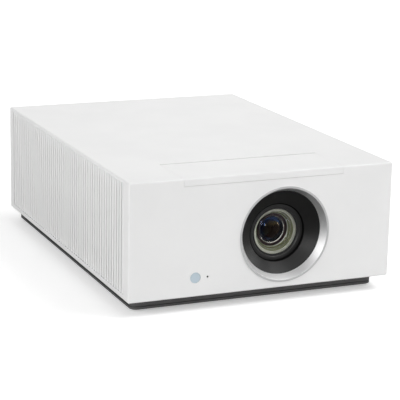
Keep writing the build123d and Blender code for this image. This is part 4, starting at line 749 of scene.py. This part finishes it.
# Adjustment bay: a black tray under the lid, with the focus and zoom rings' tabs and the two shift dials.
# Tray, rings and dials are moulded in black plastic; the rings turn on the lens barrel.
tray_black = skinned("tray black", MOULDED_SKIN, 0.00006, {
    "Tone": grey(0.016), "Shade": grey(0.012), "Grain": 1200.0, "Smooth": 0.5, "Rough": 0.68,
})
dress(tray_black, "control_bay_tray")
grip_black = skinned("grip black", MOULDED_SKIN, 0.00003, {
    "Tone": grey(0.040), "Shade": grey(0.032), "Grain": 1700.0, "Smooth": 0.36, "Rough": 0.5,
})
dress(grip_black, "focus_ring", "zoom_ring", "vertical_dial", "horizontal_dial")


# Lens shift: die-cast carriages that slide on ground steel rods in a cast frame in front of the light engine.
# Long screws under the dials move them across and up.
cast_alloy = skinned("cast alloy", MOULDED_SKIN, 0.00008, {
    "Tone": (0.50, 0.50, 0.51, 1.0), "Shade": (0.40, 0.40, 0.415, 1.0),
    "Grain": 650.0, "Smooth": 0.42, "Rough": 0.62,
}, Metallic=0.9)
dress(cast_alloy, "vertical_carriage", "horizontal_carriage", "lens_mount_frame", "engine_housing")
rod_steel = skinned("rod steel", DRAWN_SKIN, 0.000004, {
    "Tone": (0.66, 0.66, 0.67, 1.0), "Shade": (0.52, 0.52, 0.54, 1.0),
    "Grain": 1200.0, "Smooth": 0.14, "Rough": 0.26, "Stretch": (0.3, 1.0, 0.3),
}, Metallic=1.0)
dress(rod_steel, "vertical_guide_rods", "horizontal_guide_rods")


# Light engine: a plated sheet lid over the cast housing, a glass prism and a dichroic colour wheel inside.
# The mirror chip's board is screwed to the back, and the laser module to the side.
plated_sheet = skinned("plated sheet", DRAWN_SKIN, 0.00001, {
    "Tone": (0.60, 0.61, 0.62, 1.0), "Shade": (0.46, 0.47, 0.48, 1.0),
    "Grain": 260.0, "Smooth": 0.28, "Rough": 0.45, "Stretch": (0.2, 3.0, 1.0),
}, Metallic=1.0)
dress(plated_sheet, "engine_lid")
prism_glass = coated_glass("prism glass", (0.94, 0.97, 1.0, 1.0), (0.6, 0.6, 0.7, 1.0))
dress(prism_glass, "prism")

WHEEL_HUB_R = 0.0075
GREEN_FROM = 0.34
RED_FROM = 0.67
wheel_coat, tree, shader = new_finish("wheel coatings", Metallic=0.6)
place = put(tree, "ShaderNodeTexCoord").outputs["Object"]
across, up, reach = off_axis(tree, place, "YZ", middle_of("colour_wheel")[1:])
turn = maths(tree, "DIVIDE", maths(tree, "ADD", maths(tree, "ARCTAN2", across, up), pi), 2 * pi)
fields = put(tree, "ShaderNodeValToRGB", {"Fac": turn})
fields.color_ramp.interpolation = "CONSTANT"
fields.color_ramp.elements[0].color = (0.75, 0.62, 0.06, 1.0)
fields.color_ramp.elements[1].position = GREEN_FROM
fields.color_ramp.elements[1].color = (0.10, 0.48, 0.16, 1.0)
fields.color_ramp.elements.new(RED_FROM).color = (0.55, 0.06, 0.05, 1.0)
on_hub = maths(tree, "LESS_THAN", reach, WHEEL_HUB_R)
tree.links.new(mixed(tree, on_hub, fields.outputs["Color"], grey(0.55)), shader.inputs["Base Color"])
swirl = noise(tree, place, 700.0, 2.0)
tree.links.new(ranged(tree, swirl, 0.0, 1.0, 0.12, 0.3), shader.inputs["Roughness"])
dress(wheel_coat, "colour_wheel")


# Cooling: an extruded heat sink on copper pipes from the laser module, a small one behind the mirror chip,
# and two axial fans with black frames and rotors that blow out through the right-hand grille.
fin_aluminium = skinned("fin aluminium", DRAWN_SKIN, 0.00001, {
    "Tone": (0.72, 0.72, 0.73, 1.0), "Shade": (0.58, 0.58, 0.60, 1.0),
    "Grain": 420.0, "Smooth": 0.3, "Rough": 0.48, "Stretch": (4.0, 4.0, 0.3),
}, Metallic=1.0)
dress(fin_aluminium, "laser_heatsink", "dmd_heatsink", "laser_module")
pipe_copper = skinned("pipe copper", DRAWN_SKIN, 0.000006, {
    "Tone": (0.75, 0.40, 0.25, 1.0), "Shade": (0.50, 0.24, 0.15, 1.0),
    "Grain": 500.0, "Smooth": 0.22, "Rough": 0.4, "Stretch": (1.0, 0.1, 1.0),
}, Metallic=1.0)
dress(pipe_copper, "heat_pipes")
fan_black = skinned("fan black", MOULDED_SKIN, 0.00003, {
    "Tone": grey(0.020), "Shade": grey(0.015), "Grain": 1000.0, "Smooth": 0.34, "Rough": 0.5,
})
dress(fan_black, "fan_frames", "fan_rotor_front", "fan_rotor_rear")


# Circuit boards: glass fibre laminate with a green mask over copper traces and bare tinned pads.
# They stand on posts of the pan, on the engine, or behind the button and the window.
PAD_SHARE = 0.2


def board_mask():
    """Green mask with lighter traces along two directions, and round tinned pads at the middle of cells."""
    sockets = (
        ("Board", "NodeSocketColor", (0.02, 0.12, 0.06, 1.0)),
        ("Trace", "NodeSocketColor", (0.05, 0.2, 0.1, 1.0)),
    )
    results = (("Color", "NodeSocketColor"), ("Pads", "NodeSocketFloat"), ("Height", "NodeSocketFloat"))
    group, given, result = effect_group("board mask", sockets, results)
    place = put(group, "ShaderNodeTexCoord").outputs["Object"]
    lines = put(group, "ShaderNodeTexBrick", {
        "Vector": place, "Scale": 160.0, "Color1": grey(0.0), "Color2": grey(0.12), "Mortar": grey(1.0),
        "Mortar Size": 0.035, "Brick Width": 0.9, "Row Height": 0.3,
    })
    cells = put(group, "ShaderNodeTexVoronoi", {"Vector": place, "Scale": 240.0})
    pads = maths(group, "LESS_THAN", cells.outputs["Distance"], PAD_SHARE)
    masked = mixed(group, lines.outputs["Color"], given.outputs["Board"], given.outputs["Trace"])
    group.links.new(mixed(group, pads, masked, (0.62, 0.60, 0.55, 1.0)), result.inputs["Color"])
    group.links.new(pads, result.inputs["Pads"])
    group.links.new(maths(group, "MAXIMUM", lines.outputs["Fac"], pads), result.inputs["Height"])
    return group


BOARD_MASK = board_mask()
laminate, tree, shader = new_finish("board laminate", Roughness=0.35)
mask = put(tree, "ShaderNodeGroup", node_tree=BOARD_MASK)
relief = put(tree, "ShaderNodeBump", {"Height": mask.outputs["Height"], "Distance": 0.00004, "Strength": 0.6})
tree.links.new(mask.outputs["Color"], shader.inputs["Base Color"])
tree.links.new(mask.outputs["Pads"], shader.inputs["Metallic"])
tree.links.new(relief.outputs["Normal"], shader.inputs["Normal"])
dress(laminate, "main_board", "sensor_board", "dmd_board", "power_switch")


# Power supply: the board carries a plate-shaped heat sink, a taped transformer, three sleeved capacitors
# and a mains filter. Each kind stands in its own strip of the board.
LAMINATE = 0.0017
SLEEVES_FROM = 0.066
COILS_TO = 0.055
FIN_TO = 0.02
low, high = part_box("power_supply_board")
supply_mix, tree, shader = new_finish("power supply", Roughness=0.45)
mask = put(tree, "ShaderNodeGroup", node_tree=BOARD_MASK)
place = put(tree, "ShaderNodeTexCoord").outputs["Object"]
parts = put(tree, "ShaderNodeSeparateXYZ", {0: place})
standing = maths(tree, "GREATER_THAN", parts.outputs["Z"], low.z + LAMINATE)
layers = put(tree, "ShaderNodeTexWave", {
    "Vector": place, "Scale": 120.0, "Distortion": 0.6,
}, bands_direction="Z").outputs["Fac"]
tape = mixed(tree, layers, (0.62, 0.42, 0.05, 1.0), (0.45, 0.29, 0.03, 1.0))
sleeve = mixed(tree, layers, (0.025, 0.03, 0.05, 1.0), (0.04, 0.045, 0.07, 1.0))
coil = mixed(tree, layers, (0.42, 0.18, 0.08, 1.0), (0.14, 0.05, 0.03, 1.0))
is_sleeve = maths(tree, "GREATER_THAN", parts.outputs["Y"], low.y + SLEEVES_FROM)
is_coil = maths(tree, "GREATER_THAN", parts.outputs["Y"], high.y - COILS_TO)
is_fin = maths(tree, "LESS_THAN", parts.outputs["X"], low.x + FIN_TO)
kinds = mixed(tree, is_coil, mixed(tree, is_sleeve, tape, sleeve), coil)
kinds = mixed(tree, is_fin, kinds, grey(0.6))
tree.links.new(mixed(tree, standing, mask.outputs["Color"], kinds), shader.inputs["Base Color"])
tree.links.new(maths(tree, "MULTIPLY", is_fin, standing), shader.inputs["Metallic"])
dress(supply_mix, "power_supply_board")


# Speakers: closed boxes of black plastic behind both grilles, each with a round driver facing outwards.
# The driver has a paper cone in a rubber surround.
dress(tray_black, "speaker_boxes")
SURROUND_R = 0.0215
driver_cone, tree, shader = new_finish("driver cone")
place = put(tree, "ShaderNodeTexCoord").outputs["Object"]
_, _, reach = off_axis(tree, place, "YZ", middle_of("speaker_drivers")[1:])
on_surround = maths(tree, "GREATER_THAN", reach, SURROUND_R)
paper = mixed(tree, noise(tree, place, 900.0, 4.0), grey(0.035), grey(0.075))
tree.links.new(mixed(tree, on_surround, paper, grey(0.012)), shader.inputs["Base Color"])
tree.links.new(ranged(tree, on_surround, 0.0, 1.0, 0.85, 0.4), shader.inputs["Roughness"])
dress(driver_cone, "speaker_drivers")


# Rear sockets: folded and plated steel shells, a moulded audio jack and mains inlet, and a black plate.
# The shells are soldered to the main board and reach through the plate, which is held by the rear panel.
socket_steel = skinned("socket steel", DRAWN_SKIN, 0.000006, {
    "Tone": (0.68, 0.68, 0.66, 1.0), "Shade": (0.50, 0.50, 0.48, 1.0),
    "Grain": 900.0, "Smooth": 0.2, "Rough": 0.36, "Stretch": (1.0, 0.15, 1.0),
}, Metallic=1.0)
dress(socket_steel, "hdmi_sockets", "usb_socket", "lan_socket", "ac_pins")
socket_black = skinned("socket black", MOULDED_SKIN, 0.00004, {
    "Tone": grey(0.018), "Shade": grey(0.013), "Grain": 1400.0, "Smooth": 0.4, "Rough": 0.58,
})
dress(socket_black, "io_plate", "audio_jack", "ac_inlet")


# Power button: a black plastic cap that is pressed against a small switch, with a dished face.
# A flange behind the rear panel keeps it in.
button_at, stem_end, cap_face = round_place("power_button")
BUTTON_R = 0.0057
BUTTON_DISH_R = 0.0046
BUTTON_DISH = 0.0005
BUTTON_LAND_R = 0.0050
BUTTON_BEVEL_R = 0.0054
BUTTON_BEVEL = 0.0001
BUTTON_FLANGE_R = 0.0076
BUTTON_FLANGE_DEPTHS = (0.0054, 0.0038)
BUTTON_STEM_R = 0.002
flange_y = [cap_face - depth for depth in BUTTON_FLANGE_DEPTHS]
dish = np.linspace(0.0, BUTTON_DISH_R, 16)
dish_face = np.column_stack([dish, cap_face - BUTTON_DISH * (1 - (dish / BUTTON_DISH_R) ** 2)])
button_rim = [
    (BUTTON_LAND_R, cap_face), (BUTTON_BEVEL_R, cap_face - BUTTON_BEVEL), (BUTTON_R, cap_face - BUTTON_DISH),
    (BUTTON_R, flange_y[1]), (BUTTON_FLANGE_R, flange_y[1]), (BUTTON_FLANGE_R, flange_y[0]),
    (BUTTON_STEM_R, flange_y[0]), (BUTTON_STEM_R, stem_end), (0.0, stem_end),
]
mesh_piece("power_button_cap", *turned(np.vstack([dish_face, button_rim]), "Y", button_at, 96),
           "power_button", "black_plastic", [grip_black], ["power_button"])


# Studio: a pale floor and a white surround, dimmed in reflections on the camera's side. Large soft lights
# stand above at the right, at the left and behind, two small low ones give the glass its glints and a side
# one reaches into the hood. The camera stands where the photograph was taken, left of the front.
def softbox(name, place, aim, size, power):
    """Square area lamp at a place, turned towards a point."""
    lamp = bpy.data.lights.new(name, "AREA")
    lamp.shape = "SQUARE"
    lamp.size = size
    lamp.energy = power
    box = bpy.data.objects.new(name, lamp)
    box.location = place
    box.rotation_euler = (Vector(aim) - Vector(place)).to_track_quat("-Z", "Y").to_euler()
    bpy.context.collection.objects.link(box)


LENS_AIM = (0.0, -0.2, 0.08)
softbox("key light", (1.4, -0.65, 2.25), (0.0, -0.1, 0.08), size=1.6, power=35.0)
softbox("left light", (-2.4, -0.9, 1.0), (0.0, 0.0, 0.08), size=1.2, power=31.0)
softbox("right light", (2.08, -1.81, 0.2), LENS_AIM, size=0.36, power=4.5)
softbox("front light", (-0.15, -2.6, 0.22), LENS_AIM, size=0.38, power=5.3)
softbox("side light", (2.3, -0.75, 0.5), LENS_AIM, size=0.8, power=12.0)
softbox("rear light", (0.6, 2.6, 1.0), (0.0, 0.2, 0.08), size=1.8, power=12.0)


def in_mirror(tree):
    """1 for rays that come from metal or glass, in which the surround shows as a picture."""
    rays = put(tree, "ShaderNodeLightPath").outputs
    return maths(tree, "MAXIMUM", rays["Is Glossy Ray"], rays["Is Transmission Ray"])


def seen_directly(tree):
    """1 for rays straight from the camera."""
    return put(tree, "ShaderNodeLightPath").outputs["Is Camera Ray"]


AMBIENT = 0.365
CAMERA_SIDE = 0.15
LOW_FRONT = (-0.35, -0.75, -0.55)
world = bpy.data.worlds.new("white surround")
bpy.context.scene.world = world
world.use_nodes = True
tree = world.node_tree
tree.nodes.clear()
aimed = put(tree, "ShaderNodeVectorMath", {
    0: put(tree, "ShaderNodeTexCoord").outputs["Generated"], 1: LOW_FRONT,
}, operation="DOT_PRODUCT").outputs["Value"]
gloss = put(tree, "ShaderNodeMapRange", {
    "Value": aimed, "From Min": 0.2, "From Max": 0.8, "To Min": 1.0, "To Max": CAMERA_SIDE,
}, interpolation_type="SMOOTHSTEP").outputs["Result"]
level = put(tree, "ShaderNodeMix", {0: in_mirror(tree), 2: AMBIENT, 3: gloss}).outputs[0]
level = put(tree, "ShaderNodeMix", {0: seen_directly(tree), 2: level, 3: 1.0}).outputs[0]
sky = put(tree, "ShaderNodeBackground", {"Color": grey(1.0), "Strength": level})
put(tree, "ShaderNodeOutputWorld", {"Surface": sky.outputs[0]})

FLOOR_HALF = 6.0
FLOOR_TONE = 0.85
FLOOR_IN_GLOSS = 0.15
NEAR_LIFT = 0.42
FAR_LIFT = 0.6
NEAR_OBJECT = 0.3
FAR_OFF = 1.3
floor_mesh = bpy.data.meshes.new("studio floor")
corner = FLOOR_HALF * np.array([(-1, -1, 0), (1, -1, 0), (1, 1, 0), (-1, 1, 0)])
floor_mesh.from_pydata(corner, [], [(0, 1, 2, 3)])
floor = bpy.data.objects.new("studio_floor", floor_mesh)
bpy.context.collection.objects.link(floor)
floor_paint = bpy.data.materials.new("floor paint")
floor_paint.use_nodes = True
tree = floor_paint.node_tree
tree.nodes.clear()
matt = put(tree, "ShaderNodeBsdfDiffuse", {
    "Color": mixed(tree, in_mirror(tree), grey(FLOOR_TONE), grey(FLOOR_IN_GLOSS)),
})
place = put(tree, "ShaderNodeTexCoord").outputs["Object"]
distance = put(tree, "ShaderNodeVectorMath", {0: place}, operation="LENGTH").outputs["Value"]
lift = ranged(tree, distance, NEAR_OBJECT, FAR_OFF, NEAR_LIFT, FAR_LIFT)
lift = maths(tree, "MULTIPLY", seen_directly(tree), lift)
glow = put(tree, "ShaderNodeEmission", {"Strength": lift})
both = put(tree, "ShaderNodeAddShader", {0: matt.outputs[0], 1: glow.outputs[0]})
put(tree, "ShaderNodeOutputMaterial", {"Surface": both.outputs[0]})
floor_mesh.materials.append(floor_paint)

CAMERA_PLACE = (-0.7117, -1.6869, 0.5335)
AZIMUTH = radians(-23.366)
ELEVATION = radians(14.386)
ROLL = radians(1.129)
SENSOR_W = 36.0
FOCAL_LENGTH = 142.24
optics = bpy.data.cameras.new("camera")
optics.sensor_width = SENSOR_W
optics.lens = FOCAL_LENGTH
camera = bpy.data.objects.new("camera", optics)
heading = Matrix.Rotation(AZIMUTH, 4, "Z") @ Matrix.Rotation(pi / 2 - ELEVATION, 4, "X")
camera.matrix_world = Matrix.Translation(CAMERA_PLACE) @ heading @ Matrix.Rotation(ROLL, 4, "Z")
bpy.context.collection.objects.link(camera)
bpy.context.scene.camera = camera
bpy.context.scene.view_settings.view_transform = "Standard"
